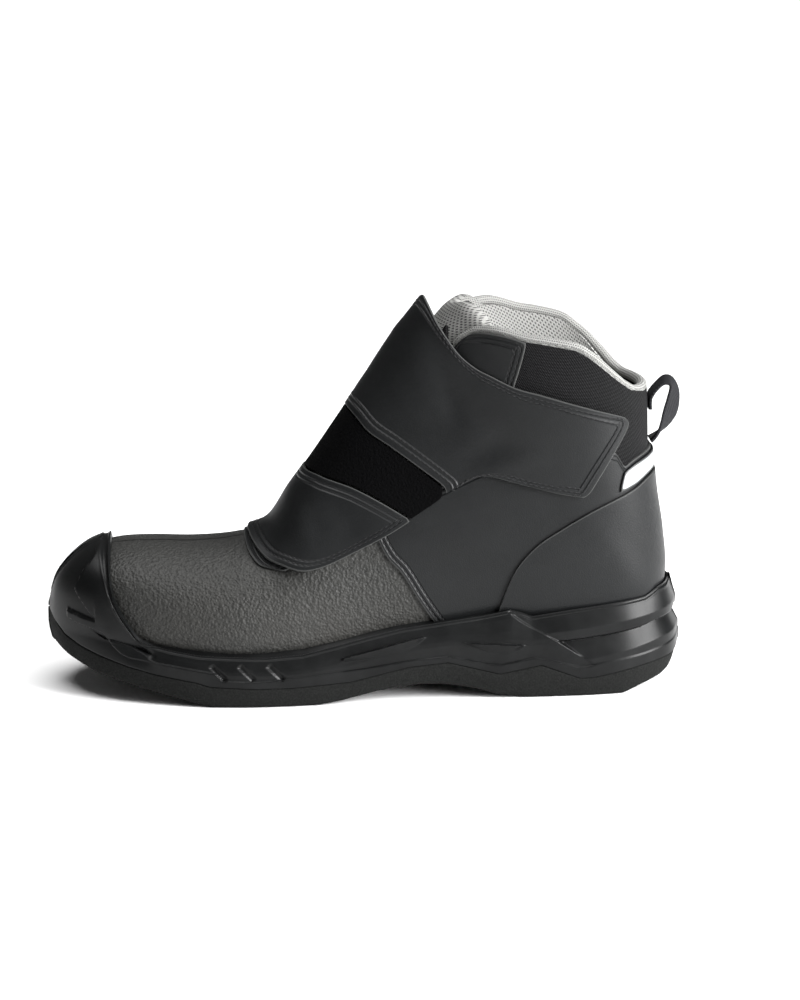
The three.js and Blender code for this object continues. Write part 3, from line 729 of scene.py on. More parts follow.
# Spacer mesh: rows of holes, each row half a step on from the last
def meshFinish(name, pitch=1.9 * mm):
    made = Finish(name, specular=0.2)
    place, flat = made.place(), made.flat()
    across = made.axis(flat, "X") / pitch
    along = made.axis(flat, "Y") / (pitch * 0.80)
    shifted = across + along.math("FLOOR").math("MODULO", 2.0) * 0.5
    dx = (shifted.math("FRACT") - 0.5).math("ABSOLUTE")
    dy = (along.math("FRACT") - 0.5).math("ABSOLUTE")
    away = (dx * dx + dy * dy).math("SQRT")
    hole = away.within(0.20, 0.36, 1, 0)
    fibre = made.noise(place, 2600, 2)
    lit = made.blend(fibre.within(0.3, 0.7), scaled(meshLook["colour"], 0.8), meshLook["colour"])
    # The holes are painted dark: painted shade where the mesh sinks in, since the holes are only a bump
    made.set(baseColor=made.blend(hole * 0.85, lit, meshLook["holeShade"]))
    made.set(roughness=fibre.within(0.2, 0.8, 0.8, 1.0))
    made.set(normal=made.bump((1 - hole) + fibre * 0.4, 0.35 * mm))
    return made.material


# Plain cloth woven from two sets of ribbons, with painted highlight on the raised ribbons and painted shade
# on the sunk ones
def wovenFinish(name, colour, light, pitch, stripe=None):
    made = Finish(name, specular=0.10)
    place, flat = made.place(), made.flat()
    across, along = made.axis(flat, "X"), made.axis(flat, "Y")
    one = (across * (math.pi / pitch)).math("SINE")
    two = (along * (math.pi / pitch)).math("SINE")
    weave = one * two
    fibre = made.noise(place, 2400, 2)
    # Painted highlight and shade: raised ribbons take the light colour, sunk ones the base colour, plus some
    # random fibre tone
    paintedCrestLightAndFibre = weave.within(-0.7, 0.7) * 0.75 + fibre * 0.3
    paint = made.blend(paintedCrestLightAndFibre, colour, light)
    if stripe:
        inside = (along - loopWidth / 2).math("ABSOLUTE").within(2.9 * mm, 3.2 * mm, 1, 0)
        outward = made.axis(flat, "Z").within(0.4, 0.6)
        paint = made.blend(inside * outward, paint, stripe)
    made.set(baseColor=paint)
    made.set(roughness=fibre.within(0.2, 0.8, 0.7, 0.95))
    made.set(normal=made.bump(weave * 0.6 + fibre * 0.4, 0.30 * mm))
    return made.material


def bandFinish():
    made = Finish("reflectiveCloth", specular=0.6)
    place, flat = made.place(), made.flat()
    edge = made.axis(flat, "Z") * 1000
    beads = made.cells(place, 2600)
    cloud = made.noise(place, 160, 3)
    hem = edge.within(0.7, 1.1, 1, 0)
    paint = made.blend(cloud.within(0.3, 0.7), bandLook["colour"], scaled(bandLook["colour"], 0.86))
    made.set(baseColor=made.blend(hem, paint, leatherLook["colour"]))
    made.set(metallic=0.25 * (1 - hem))
    made.set(roughness=beads.within(0.1, 0.6, 0.36, 0.52))
    made.set(normal=made.bump(beads, 0.06 * mm))
    return made.material


def plainFinish(name, colour, roughness, bumpScale, bumpHeight):
    made = Finish(name, specular=0.04)
    place = made.place()
    fine = made.noise(place, bumpScale, 3)
    made.set(baseColor=made.blend(fine.within(0.3, 0.7), colour, scaled(colour, 1.6)))
    made.set(roughness=fine.within(0.2, 0.8, roughness - 0.06, min(roughness + 0.06, 1.0)))
    made.set(normal=made.bump(fine, bumpHeight))
    return made.material


smoothLeather = leatherFinish("strapLeather", leatherLook, stitchRows["strap"], 0.4)
seamLeather = leatherFinish("seamLeather", leatherLook, stitchRows["seam"], 0.5)
baseLeather = leatherFinish("flapLeather", leatherLook, stitchRows["base"], 0.4)
plainLeather = leatherFinish("plainLeather", leatherLook, stitchRows["none"], 0.5)
vampLeather = vampFinish()
foam = foamFinish()
rubber = rubberFinish()
spacerMesh = meshFinish("spacerMesh")
textile = wovenFinish("collarTextile", textileLook["colour"], textileLook["light"], 1.1 * mm)
# The webbing's doubled colour is a painted highlight on the weave's raised ribbons
webbing = wovenFinish("loopWebbing", loopLook["colour"], scaled(loopLook["colour"], 2), 0.9 * mm,
                      loopLook["stripe"])
reflective = bandFinish()
pile = plainFinish("loopPile", pileLook["colour"], 0.94, 900, 0.8 * mm)
felt = plainFinish("insoleFelt", feltLook["colour"], 0.93, 900, 0.3 * mm)
thread = plainFinish("thread", threadLook["colour"], 0.6, 1800, 0.1 * mm)
print("materials ready")


def standoff(row, angle):
    lift = roundSection(section(row), angle)[0]
    rise = readLine(flapRise, row)
    return quarterStep + gap + flapLift * rise * smooth(flapCrown, 1, lift)


def level(*heights):
    total = sum(heights)
    return lambda row, angle: np.full(np.shape(row), total)


def over(base, thickness):
    return lambda row, angle: base(row, angle) + thickness


# Short raised threads along a line on the last
def stitches(lines, pitch=2.8 * mm, length=2.0 * mm, radius=0.30 * mm):
    mesh = bmesh.new()
    for line, height in lines:
        row, angle = line.T
        path = onLast(row, angle, height(row, angle))
        count = max(int(pathLength(path) / pitch), 1)
        both = evenly(line, path, 2 * count + 1)
        path = onLast(both[:, 0], both[:, 1], height(both[:, 0], both[:, 1]))
        ups = lastNormal(both[:, 0], both[:, 1])
        for place in range(1, 2 * count, 2):
            along = unit(path[place + 1] - path[place - 1])
            addStitch(mesh, path[place], along, ups[place], length, radius)
    return mesh


def addStitch(mesh, centre, along, up, length, radius):
    side = unit(np.cross(up, along))
    up = np.cross(along, side)
    made = bmesh.ops.create_uvsphere(mesh, u_segments=6, v_segments=4, radius=1)
    for vert in made["verts"]:
        x, y, z = vert.co
        stretched = math.copysign(abs(z) ** 0.6, z) * length / 2
        vert.co = centre + along * stretched + side * x * radius + up * (y * radius * 0.8)


# Half the throat's opening as an angle of the sections, and the sections over which it opens
throatAngle = 0.42
throatRows = (8.3, 9.0)
# The upper's usual girth and the usual way from a section to the next, for the weave
upperGirth = 250 * mm
sectionPitch = 19 * mm


# How far along the last's sections the wall runs at each angle, up to the collar's edge
def collarStop(ring):
    rows = np.linspace(11, endRow, 500)
    row, angle = np.meshgrid(rows, ring)
    places = lastPoint(row, angle)
    x = places[..., 0] / shoeLength
    edge = np.where(angle < math.pi, lineHeight(outerTopline[::-1], x), lineHeight(innerTopline[::-1], x))
    outside = (places[..., 2] > edge) & (x < 0.24)
    first = np.where(outside.any(1), outside.argmax(1), len(rows) - 1)
    return rows[first]


# The upper's main wall: a tube from the toe to the collar, open along the throat
def upperWallMesh():
    columns, rows = 190, 230
    mesh, index, isFace = doubleGrid(columns, rows)
    u, v = index[:, 0] / (columns - 1), index[:, 1] / (rows - 1)
    ring = mix(throatAngle, around - throatAngle, np.arange(columns) / (columns - 1))
    row = mix(0.02, 1.0, v) * collarStop(ring)[index[:, 0]]
    slit = throatAngle * smooth(*throatRows, row)
    angle = mix(slit, around - slit, u)
    height = np.where(isFace, 0, -upperWall)
    setPlaces(mesh, onLast(row, angle, height))
    facts = mesh.verts.layers.float_vector.new("flat")
    for vert, share, at in zip(mesh.verts, u, row):
        vert[facts] = (share * upperGirth, at * sectionPitch, 10 * mm)
    bmesh.ops.remove_doubles(mesh, verts=mesh.verts[:], dist=1e-6)
    bmesh.ops.recalc_face_normals(mesh, faces=mesh.faces[:])
    for face in mesh.faces:
        centre = face.calc_center_median()
        face.material_index = 2 if isInner(face) else (1 if centre.z > 0.085 and centre.x < 0.085 else 0)
    return mesh


# Whether a face of the upper's wall looks in, towards the foot
def isInner(face):
    centre = face.calc_center_median()
    spine = Vector((min(centre.x, 0.24), 0, centre.z)) if centre.z > 0.09 else Vector((centre.x, 0, 0.045))
    outward = centre - spine
    return outward.dot(face.normal) < 0


addPiece("upperWall", upperWallMesh(), [vampLeather, textile, plainLeather], ["upper"], 60)

quarterTop = level(quarterStep)
quarter = Patch(
    low=[[[0.236, 0.130], [0.140, 0.170], [0.045, 0.180], [-0.026, 0.190], [-0.081, 0.200], [-0.130, 0.210]]],
    high=[
        [[0.352, 0.410], [0.300, 0.480], [0.200, 0.560], [0.100, 0.620], [0.020, 0.612], [-0.022, 0.592]],
        [[-0.022, 0.592], [-0.030, 0.572], [-0.036, 0.556]],
        [[-0.036, 0.556], [-0.055, 0.572], [-0.083, 0.584], [-0.120, 0.590]],
    ],
    outerEnd=[[[0.236, 0.130], [0.263, 0.190], [0.288, 0.250], [0.312, 0.311], [0.332, 0.345],
               [0.345, 0.380], [0.352, 0.410]]],
    height=quarterTop, over="heel",
)
sunk = 0.4 * mm
addPiece("quarter", sheet(quarter, level(-sunk), quarterStep + sunk), [seamLeather], ["upper"])

facingDrop = {"outer": 0.024, "inner": 0.0}
facings = [
    SidePatch(
        low=[[[0.152, 0.700], [0.220, 0.720], [0.290, 0.740]]],
        high=[[[0.122, 0.890 - drop], [0.150, 0.902 - drop], [0.180, 0.907 - drop], [0.203, 0.902 - drop],
               [0.222, 0.880 - drop]]],
        start=[[[0.152, 0.700], [0.139, 0.757], [0.130, 0.805], [0.123, 0.850], [0.122, 0.890 - drop]]],
        end=[[[0.290, 0.740], [0.256, 0.792], [0.234, 0.835], [0.222, 0.880 - drop]]],
        height=quarterTop, side=side,
    )
    for side, drop in facingDrop.items()
]
for side, facing in zip(("Outer", "Inner"), facings):
    mesh = sheet(facing, level(0), quarterStep)
    addPiece("facing" + side, mesh, [seamLeather], ["upper"])

counterBase = level(quarterStep, gap)
counter = Patch(
    low=[[[0.152, 0.150], [0.108, 0.155], [0.045, 0.170], [-0.026, 0.185], [-0.081, 0.195], [-0.130, 0.200]]],
    high=[[[0.151, 0.255], [0.133, 0.318], [0.101, 0.374], [0.064, 0.412], [0.024, 0.448], [-0.010, 0.473],
           [-0.055, 0.502], [-0.083, 0.523], [-0.120, 0.532]]],
    outerEnd=[[[0.152, 0.150], [0.160, 0.200], [0.151, 0.255]]],
    height=over(counterBase, counterThickness), over="heel",
)
addPiece("heelCounter", sheet(counter, counterBase, counterThickness), [plainLeather],
         ["heel_counter"])

band = Patch(
    low=[[[-0.030, 0.497], [-0.055, 0.511], [-0.083, 0.532], [-0.120, 0.542]]],
    high=[[[-0.037, 0.545], [-0.055, 0.561], [-0.083, 0.575], [-0.120, 0.582]]],
    outerEnd=[[[-0.030, 0.497], [-0.032, 0.520], [-0.037, 0.545]]],
    height=over(counterBase, bandThickness), over="heel",
)
addPiece("reflectiveBand", sheet(band, counterBase, bandThickness), [reflective],
         ["reflective_band"])

tab = Patch(
    low=[[[0.508, 0.324], [0.532, 0.331], [0.548, 0.352], [0.557, 0.380], [0.560, 0.400]]],
    high=[[[0.480, 0.332], [0.480, 0.400], [0.480, 0.480]]],
    outerEnd=[[[0.508, 0.324], [0.494, 0.322], [0.480, 0.332]]],
    height=level(gap, tabThickness), over="ridge",
)
addPiece("throatTab", sheet(tab, level(gap), tabThickness), [seamLeather], ["throat_tab"])

# Soft creases in the flap, each from one place to another in the side view: width, then height
flapFolds = [
    {"from": (0.262, 0.905), "to": (0.222, 0.640), "width": 7 * mm, "height": -0.7 * mm},
    {"from": (0.300, 0.900), "to": (0.262, 0.660), "width": 10 * mm, "height": 0.5 * mm},
    {"from": (0.235, 0.560), "to": (0.140, 0.640), "width": 9 * mm, "height": -0.6 * mm},
    {"from": (0.180, 0.560), "to": (0.080, 0.600), "width": 8 * mm, "height": 0.4 * mm},
    {"from": (0.420, 0.500), "to": (0.380, 0.400), "width": 9 * mm, "height": -0.5 * mm},
    {"from": (0.470, 0.470), "to": (0.455, 0.350), "width": 7 * mm, "height": 0.4 * mm},
]


def flapFoldHeight(places):
    points = places[:, [0, 2]]
    total = np.zeros(len(points))
    for fold in flapFolds:
        start, stop = (np.array([x * shoeLength, z * lastHeight]) for x, z in (fold["from"], fold["to"]))
        run = stop - start
        share = np.clip(((points - start) @ run) / (run @ run), 0, 1)
        away = np.linalg.norm(points - start - share[:, None] * run, axis=1) / fold["width"]
        ends = np.sin(math.pi * np.clip(share, 0.02, 0.98)) ** 0.5
        total += fold["height"] * ends * np.exp(-away ** 2 * 2)
    return total * (places[:, 1] > -0.02)


flapBase = Patch(
    low=[[[0.300, 0.437], [0.334, 0.405], [0.379, 0.370], [0.422, 0.340], [0.450, 0.327], [0.472, 0.325],
          [0.496, 0.335], [0.525, 0.352], [0.560, 0.400], [0.600, 0.440]]],
    high=[[[0.304, 0.446], [0.344, 0.482], [0.387, 0.513], [0.429, 0.530], [0.460, 0.539], [0.600, 0.560]]],
    height=over(standoff, flapThickness), over="ridge",
)
addPiece("flapBase", sheet(flapBase, standoff, flapThickness, folds=flapFoldHeight), [baseLeather],
         ["flap_base"])

flapBand = Patch(
    low=[[[0.297, 0.444], [0.302, 0.449], [0.343, 0.486], [0.386, 0.517], [0.429, 0.534], [0.460, 0.543],
          [0.600, 0.564]]],
    high=[[[0.250, 0.518], [0.288, 0.563], [0.331, 0.608], [0.363, 0.638], [0.391, 0.680], [0.460, 0.760]]],
    outerEnd=[[[0.297, 0.444], [0.262, 0.480], [0.250, 0.497], [0.250, 0.518]]],
    height=over(standoff, pileThickness), over="ridge",
)
addPiece("flapBand", sheet(flapBand, standoff, pileThickness), [pile], ["flap_band"])

flapStrap = Patch(
    low=[
        [[0.030, 0.491], [0.071, 0.502], [0.140, 0.530], [0.171, 0.543], [0.195, 0.543], [0.218, 0.535],
         [0.244, 0.503]],
        [[0.244, 0.503], [0.248, 0.522], [0.287, 0.567], [0.330, 0.612], [0.362, 0.642], [0.390, 0.684],
         [0.460, 0.760]],
    ],
    high=[[[-0.034, 0.681], [-0.011, 0.693], [0.054, 0.722], [0.100, 0.742], [0.138, 0.757], [0.175, 0.783],
           [0.197, 0.799], [0.221, 0.828], [0.240, 0.865], [0.256, 0.903], [0.275, 0.958], [0.300, 1.000]]],
    outerEnd=[[[0.030, 0.491], [0.020, 0.502], [0.006, 0.535], [-0.020, 0.600], [-0.037, 0.645],
               [-0.041, 0.667], [-0.034, 0.681]]],
    inner=(
        [[[0.225, 0.560], [0.236, 0.530], [0.250, 0.524], [0.287, 0.567], [0.330, 0.612], [0.362, 0.642],
          [0.390, 0.684], [0.460, 0.760]]],
        [[[0.205, 0.765], [0.221, 0.795], [0.240, 0.828], [0.256, 0.873], [0.275, 0.945], [0.300, 1.000]]],
    ),
    innerEnd=[[[0.225, 0.560], [0.200, 0.640], [0.195, 0.710], [0.205, 0.765]]],
    height=over(standoff, flapThickness), over="ridge",
)
addPiece("flapStrap", sheet(flapStrap, standoff, flapThickness, folds=flapFoldHeight), [smoothLeather],
         ["flap_strap"])

# Stitch rows
strapTop = over(standoff, flapThickness)
rows = []
for inset in stitchRows["strap"]:
    for edge in ("low", "high", "outerEnd"):
        rows.append((flapStrap.inset(edge, inset * mm, 0.02, 0.98), strapTop))
for inset in stitchRows["base"]:
    rows.append((flapBase.inset("low", inset * mm, 0.02, 0.98), strapTop))
for inset in stitchRows["seam"]:
    for edge in ("outerEnd", "innerEnd"):
        rows.append((quarter.inset(edge, inset * mm, 0.1, 0.98), quarterTop))
    for facing, edge in zip(facings, ("outerEnd", "innerEnd")):
        rows.append((facing.inset(edge, inset * mm, 0.05, 1.0), quarterTop))
    rows.append((tab.inset("low", inset * mm, 0.02, 0.98), level(gap, tabThickness)))
addPiece("stitches", stitches(rows), [thread], ["flap_strap"], 80)

# Tongue and collar
tonguePatch = Patch(
    low=[[[0.440, 0.430], [0.460, 0.420], [0.480, 0.410], [0.520, 0.400]]],
    high=[[[0.180, 0.895], [0.188, 0.915], [0.202, 0.938], [0.216, 0.950], [0.236, 0.942], [0.260, 0.925]]],
    outerEnd=[[[0.440, 0.430], [0.400, 0.520], [0.300, 0.720], [0.222, 0.820], [0.180, 0.895]]],
    height=level(-upperWall, -gap), over="ridge",
)


# A pad's thickness as a share, rounded off over a soft border
def pad(soft):
    return lambda edge: 0.25 + 0.75 * np.sqrt(1 - (1 - np.clip(edge / soft, 0, 1)) ** 2)


tongueMesh = sheet(
    tonguePatch, level(-upperWall, -gap, -tonguePad), tonguePad, soften=0, pillow=pad(7 * mm),
)
# Spacer mesh on its front, where the stored normals run against the way out, and on its top edge
facts = tongueMesh.verts.layers.float_vector["flat"]
for face in tongueMesh.faces:
    edge = np.mean([vert[facts].z for vert in face.verts])
    centre = face.calc_center_median()
    isRolled = edge < tongueEdge and centre.z > tongueEdgeFrom
    isFront = (centre - Vector((ankleMiddle, 0, centre.z))).dot(face.normal) < 0
    face.material_index = 1 if isRolled or isFront else 0
tonguePiece = addPiece("tonguePad", tongueMesh, [plainLeather, spacerMesh], ["tongue"],
                       80)

liningLow = [[[0.190, 0.700], [0.110, 0.620], [0.010, 0.500], [-0.050, 0.480], [-0.130, 0.470]]]
liningPatch = Patch(
    low=liningLow, high=[outerTopline], inner=(liningLow, [innerTopline]),
    outerEnd=[[[0.190, 0.700], [0.216, 0.790], [0.224, 0.830], [0.222, 0.852]]],
    innerEnd=[[[0.190, 0.700], [0.222, 0.800], [0.230, 0.850], [0.224, 0.885]]],
    height=level(-upperWall), over="heel",
)
liningMesh = sheet(
    liningPatch, level(-upperWall, -gap, -collarPad), collarPad, soften=0, pillow=pad(8 * mm),
)
lining = addPiece("collarLining", liningMesh, [spacerMesh], ["collar_lining"], 80)


# The rolled edge: half its width and height, its rise over the collar's edge, and its weave's steps
collarRoll = {"wide": 2.6 * mm, "high": 2.4 * mm, "up": 1.2 * mm, "along": 1.25 * mm, "around": 0.95 * mm}


# The collar's rolled edge: an oval drawn along the topline and down the front of the facing
def collarRim():
    fronts = ([[0.275, 0.760], [0.252, 0.790], [0.234, 0.825], [0.222, 0.855], [0.201, 0.878]],
              [[0.275, 0.770], [0.256, 0.800], [0.236, 0.845], [0.228, 0.880], [0.201, 0.905]])
    outer, inner = ([front, topline[1:]] for front, topline in zip(fronts, (outerTopline, innerTopline)))
    path = traceOver(outer, inner, level(0), "heel", 420)
    centre = onLast(path[:, 0], path[:, 1], -collarRoll["wide"]) + [0, 0, collarRoll["up"]]
    out = lastNormal(path[:, 0], path[:, 1])
    forward = unit(np.gradient(centre, axis=0))
    up = unit(np.cross(forward, out))
    up = up * np.sign((up * np.array([0, 0, 1])).sum(-1).mean())
    sides = 20
    mesh, index = gridMesh(len(path), sides + 1)
    turn = around * index[:, 1] / sides
    shape = out[index[:, 0]] * (np.cos(turn) * collarRoll["wide"])[:, None]
    shape = shape + up[index[:, 0]] * (np.sin(turn) * collarRoll["high"])[:, None]
    setPlaces(mesh, centre[index[:, 0]] + shape)
    facts = mesh.verts.layers.float_vector.new("flat")
    for vert, (i, j) in zip(mesh.verts, index):
        vert[facts] = (i * collarRoll["along"], j * collarRoll["around"], 10 * mm)
    bmesh.ops.remove_doubles(mesh, verts=mesh.verts[:], dist=1e-6)
    bmesh.ops.holes_fill(mesh, edges=mesh.edges[:], sides=0)
    bmesh.ops.recalc_face_normals(mesh, faces=mesh.faces[:])
    return mesh


rim = addPiece("collarRim", collarRim(), [spacerMesh], ["collar_lining"], 80)


# The loop: a flat tape of rounded section along its middle line, which turns as it goes
def pullLoop():
    line = np.array(loopLine)
    heights = line[:, 0]
    seat = shoeLength * np.interp(heights, lastRows[16:, 1], lastRows[16:, 0]) - gap - loopThickness / 2
    table = np.stack([seat - line[:, 1] * loopReach, lastHeight * heights, line[:, 2]], -1)
    path = spline(table, np.linspace(0, len(table) - 1, 120))
    tangent = unit(np.gradient(path[:, :2], axis=0))
    forward = np.stack([tangent[:, 0], 0 * tangent[:, 0], tangent[:, 1]], -1)
    twist = path[:, 2] * around
    flatSide = np.array([0, 1.0, 0])
    normal = np.cross(forward, flatSide)
    side = np.cos(twist)[:, None] * flatSide + np.sin(twist)[:, None] * normal
    normal = np.cross(forward, side)
    centre = np.stack([path[:, 0], 0 * path[:, 0], path[:, 1]], -1)
    half, thick, sides = loopWidth / 2, loopThickness / 2, 32
    mesh, index = gridMesh(len(path), sides + 1)
    turn = around * index[:, 1] / sides
    wide = np.sign(np.cos(turn)) * np.abs(np.cos(turn)) ** 0.35 * half
    deep = np.sign(np.sin(turn)) * np.abs(np.sin(turn)) ** 0.5 * thick
    places = centre[index[:, 0]] + side[index[:, 0]] * wide[:, None] + normal[index[:, 0]] * deep[:, None]
    setPlaces(mesh, places)
    facts = mesh.verts.layers.float_vector.new("flat")
    for vert, (i, j), w, d in zip(mesh.verts, index, wide, deep):
        vert[facts] = (i * loopStep, w + half, 0.0 if d < 0 else 1.0)
    bmesh.ops.remove_doubles(mesh, verts=mesh.verts[:], dist=1e-6)
    bmesh.ops.holes_fill(mesh, edges=mesh.edges[:], sides=0)
    bmesh.ops.recalc_face_normals(mesh, faces=mesh.faces[:])
    return mesh


addPiece("pullLoop", pullLoop(), [webbing], ["pull_loop"], 60)


# The sole's closed plan outline from the heel round the outer side, at places that both sides share
def solePath(stations):
    plan = np.array(solePlan) * [shoeLength, soleWidth, soleWidth]
    points = np.concatenate([plan[:, [0, 1]], plan[::-1, [0, 2]] * [1, -1]])
    closed = np.concatenate([points[-3:], points, points[:3]])
    fine = spline(closed, np.linspace(3, 3 + len(points), 6000))
    heel, toe = int(np.argmin(fine[:3000, 0])), int(np.argmax(fine[:, 0]))
    outer = fine[heel:toe + 1]
    inner = np.concatenate([fine[toe:], fine[:heel + 1]])[::-1]
    there, back = (evenly(half, half, stations) for half in (outer, inner))
    path = np.concatenate([there, back[-2:0:-1]])
    tangent = unit(np.roll(path, -1, 0) - np.roll(path, 1, 0))
    return path, np.stack([-tangent[:, 1], tangent[:, 0]], -1)


# The points of a closed ring and those across from them, on the other side of the foot
def acrossRing(ring):
    total = len(ring)
    half = total // 2 + 1
    return ring[:half], ring[(-np.arange(half)) % total]


# Adds a surface across a closed ring, with its height worked out by a function where one is given
def addFloor(mesh, ring, steps, heightAt=None):
    outer, inner = acrossRing(ring)
    patch, index = gridMesh(len(outer), steps)
    share = index[:, 1] / (steps - 1)
    places = mix(outer[index[:, 0]], inner[index[:, 0]], share[:, None])
    if heightAt:
        inside = (index[:, 1] > 0) & (index[:, 1] < steps - 1)
        places[:, 2] = np.where(inside, heightAt(places), places[:, 2])
    setPlaces(patch, places)
    joined(mesh, patch)


def joined(mesh, other):
    data = bpy.data.meshes.new("part")
    other.to_mesh(data)
    other.free()
    mesh.from_mesh(data)
    bpy.data.meshes.remove(data)


# Adds a closed band from rings that are rows of points round the sole
def addRings(mesh, rings):
    columns, rows = rings.shape[:2]
    patch, index = gridMesh(columns + 1, rows)
    setPlaces(patch, rings[index[:, 0] % columns, index[:, 1]])
    joined(mesh, patch)


def welded(mesh):
    bmesh.ops.remove_doubles(mesh, verts=mesh.verts[:], dist=2e-6)
    bmesh.ops.recalc_face_normals(mesh, faces=mesh.faces[:])
    return mesh


# How far the midsole's side lies inside the plan outline, at one station and a row of heights
def flankInset(x, z, low, high, fromStep):
    share = np.clip((z - low) / (high - low), 0, 1)
    table = np.array(sideProfile)
    side = np.interp(share, table[:, 0], table[:, 1])
    under, crest = lineHeight(heelGroove, x), lineHeight(heelRib, x)
    knots = [low, lineHeight(lowRidge, x), under - 1.1 * mm, under, crest, high]
    heel = np.interp(z, np.maximum.accumulate(knots), heelSteps)
    away = (np.interp(z / lastHeight, supportEdge[:, 1], supportEdge[:, 0]) - x) * shoeLength
    heelShare = smooth(-0.3 * mm, 1.1 * mm, away)
    step = stepDepth * smooth(-0.15 * mm, 0.35 * mm, fromStep)
    return ribDepth * mix(side, heel, heelShare) + step * mix(1, 0.45, heelShare)


# Facets pressed into the flank: deepest under their top line, level with it at their lower one
def facetDepth(x, z):
    depth = np.zeros_like(z)
    for facet in facets:
        top, low = lineHeight(facet["top"], x), lineHeight(facet["low"], x)
        tall = np.maximum(top - low, 0.3 * mm)
        inside = (x > facet["top"][0][0]) & (x < facet["top"][-1][0])
        share = np.clip((z - low) / tall, 0, 1)
        shut = 1 - smooth(0, 0.5 * mm, z - top)
        pressed = facet["depth"] * share * shut * np.clip(tall / (2 * mm), 0, 1)
        depth = np.maximum(depth, np.where(inside, pressed, 0))
    return depth


# Where a place lies in a bar of some half size: 1 inside, 0 outside, with a soft edge
def inBar(away, half, soft):
    return 1 - smooth(-soft, soft, np.abs(away) - half)


# Slanted raised marks, as shares of their height
def slashHeight(x, z):
    total = np.zeros_like(z)
    for at in slash["at"]:
        dx, dz = (x - at) * shoeLength, z - slash["z"] * lastHeight
        along, across = (dx + dz) / math.sqrt(2), (dx - dz) / math.sqrt(2)
        mark = inBar(across, slash["width"] / 2, slash["soft"])
        total = np.maximum(total, mark * inBar(along, slash["length"] / 2, slash["soft"]))
    return total


# Surfaces that the toe guard follows: the last grown by the guard, and the sole's wall
def guardForms(path, out):
    mesh, index = gridMesh(240, 140)
    angle = around * index[:, 0] / 239
    row = 0.01 + 7.5 * (index[:, 1] / 139) ** 1.3
    setPlaces(mesh, onLast(row, angle, gap + guardThickness))
    dome = BVHTree.FromBMesh(mesh)
    mesh.free()
    x = path[:, 0] / shoeLength
    low, high = lineHeight(soleBorder, x), lineHeight(topEdge, x) - 1.5 * mm
    share = np.linspace(-0.6, 1, 24)[None]
    z = mix(low[:, None], high[:, None], share)
    inset = 0.9 * ribDepth * np.clip(share, 0, 1) ** 1.6
    planar = path[:, None] - out[:, None] * inset[..., None]
    rings = np.concatenate([planar, z[..., None]], -1)
    mesh = bmesh.new()
    addRings(mesh, rings)
    addFloor(mesh, rings[:, -1], 12)
    addFloor(mesh, rings[:, 0], 12)
    wall = BVHTree.FromBMesh(welded(mesh))
    mesh.free()
    return dome, wall


# Row places along a column: close together at its first rows and at its last
def rowPlaces(length, rows):
    fine = 0.42 * mm
    low = np.arange(10) * fine
    high = length - np.arange(12)[::-1] * 0.30 * mm
    return np.concatenate([low, np.linspace(low[-1], high[0], rows - 20)[1:-1], high])


# The foam midsole with its toe guard, from columns round the path
def midsoleMesh():
    stations, rows = 451, 84
    path, out = solePath(stations)
    x = path[:, 0] / shoeLength
    low, high = lineHeight(soleBorder, x), lineHeight(topEdge, x)
    dome, wall = guardForms(path, out)
    rimLine, toe = guardRimLine(x, path)
    share = np.linspace(0, 1, 140)
    columns = []
    for i in range(len(path)):
        z = mix(low[i], high[i], share)
        fromStep = z - lineHeight(stepLine, x[i])
        inset = flankInset(x[i], z, low[i], high[i], fromStep * (toe[i] < 0.5))
        plain = np.column_stack([path[i] - out[i] * inset[:, None], z])
        if toe[i] > 0:
            plain = guardColumn(plain, rimLine[i], out[i], share, dome, wall, toe[i])
        columns.append(evenlyAt(plain, rows))
    places = np.array(columns)
    places = places + soleNormals(places) * relief(places)[..., None]
    return soleSolid(places)


# A column's points at the row places
def evenlyAt(column, rows):
    steps = np.linalg.norm(np.diff(column, axis=0), axis=1)
    lengths = np.concatenate([[0], np.cumsum(steps)])
    wanted = rowPlaces(lengths[-1], rows)
    return np.stack([np.interp(wanted, lengths, axis) for axis in column.T], -1)


# Which way the side's surface faces, outwards
def soleNormals(places):
    along = np.roll(places, -1, 0) - np.roll(places, 1, 0)
    upward = np.gradient(places, axis=1)
    return unit(np.cross(upward, along)) * -1


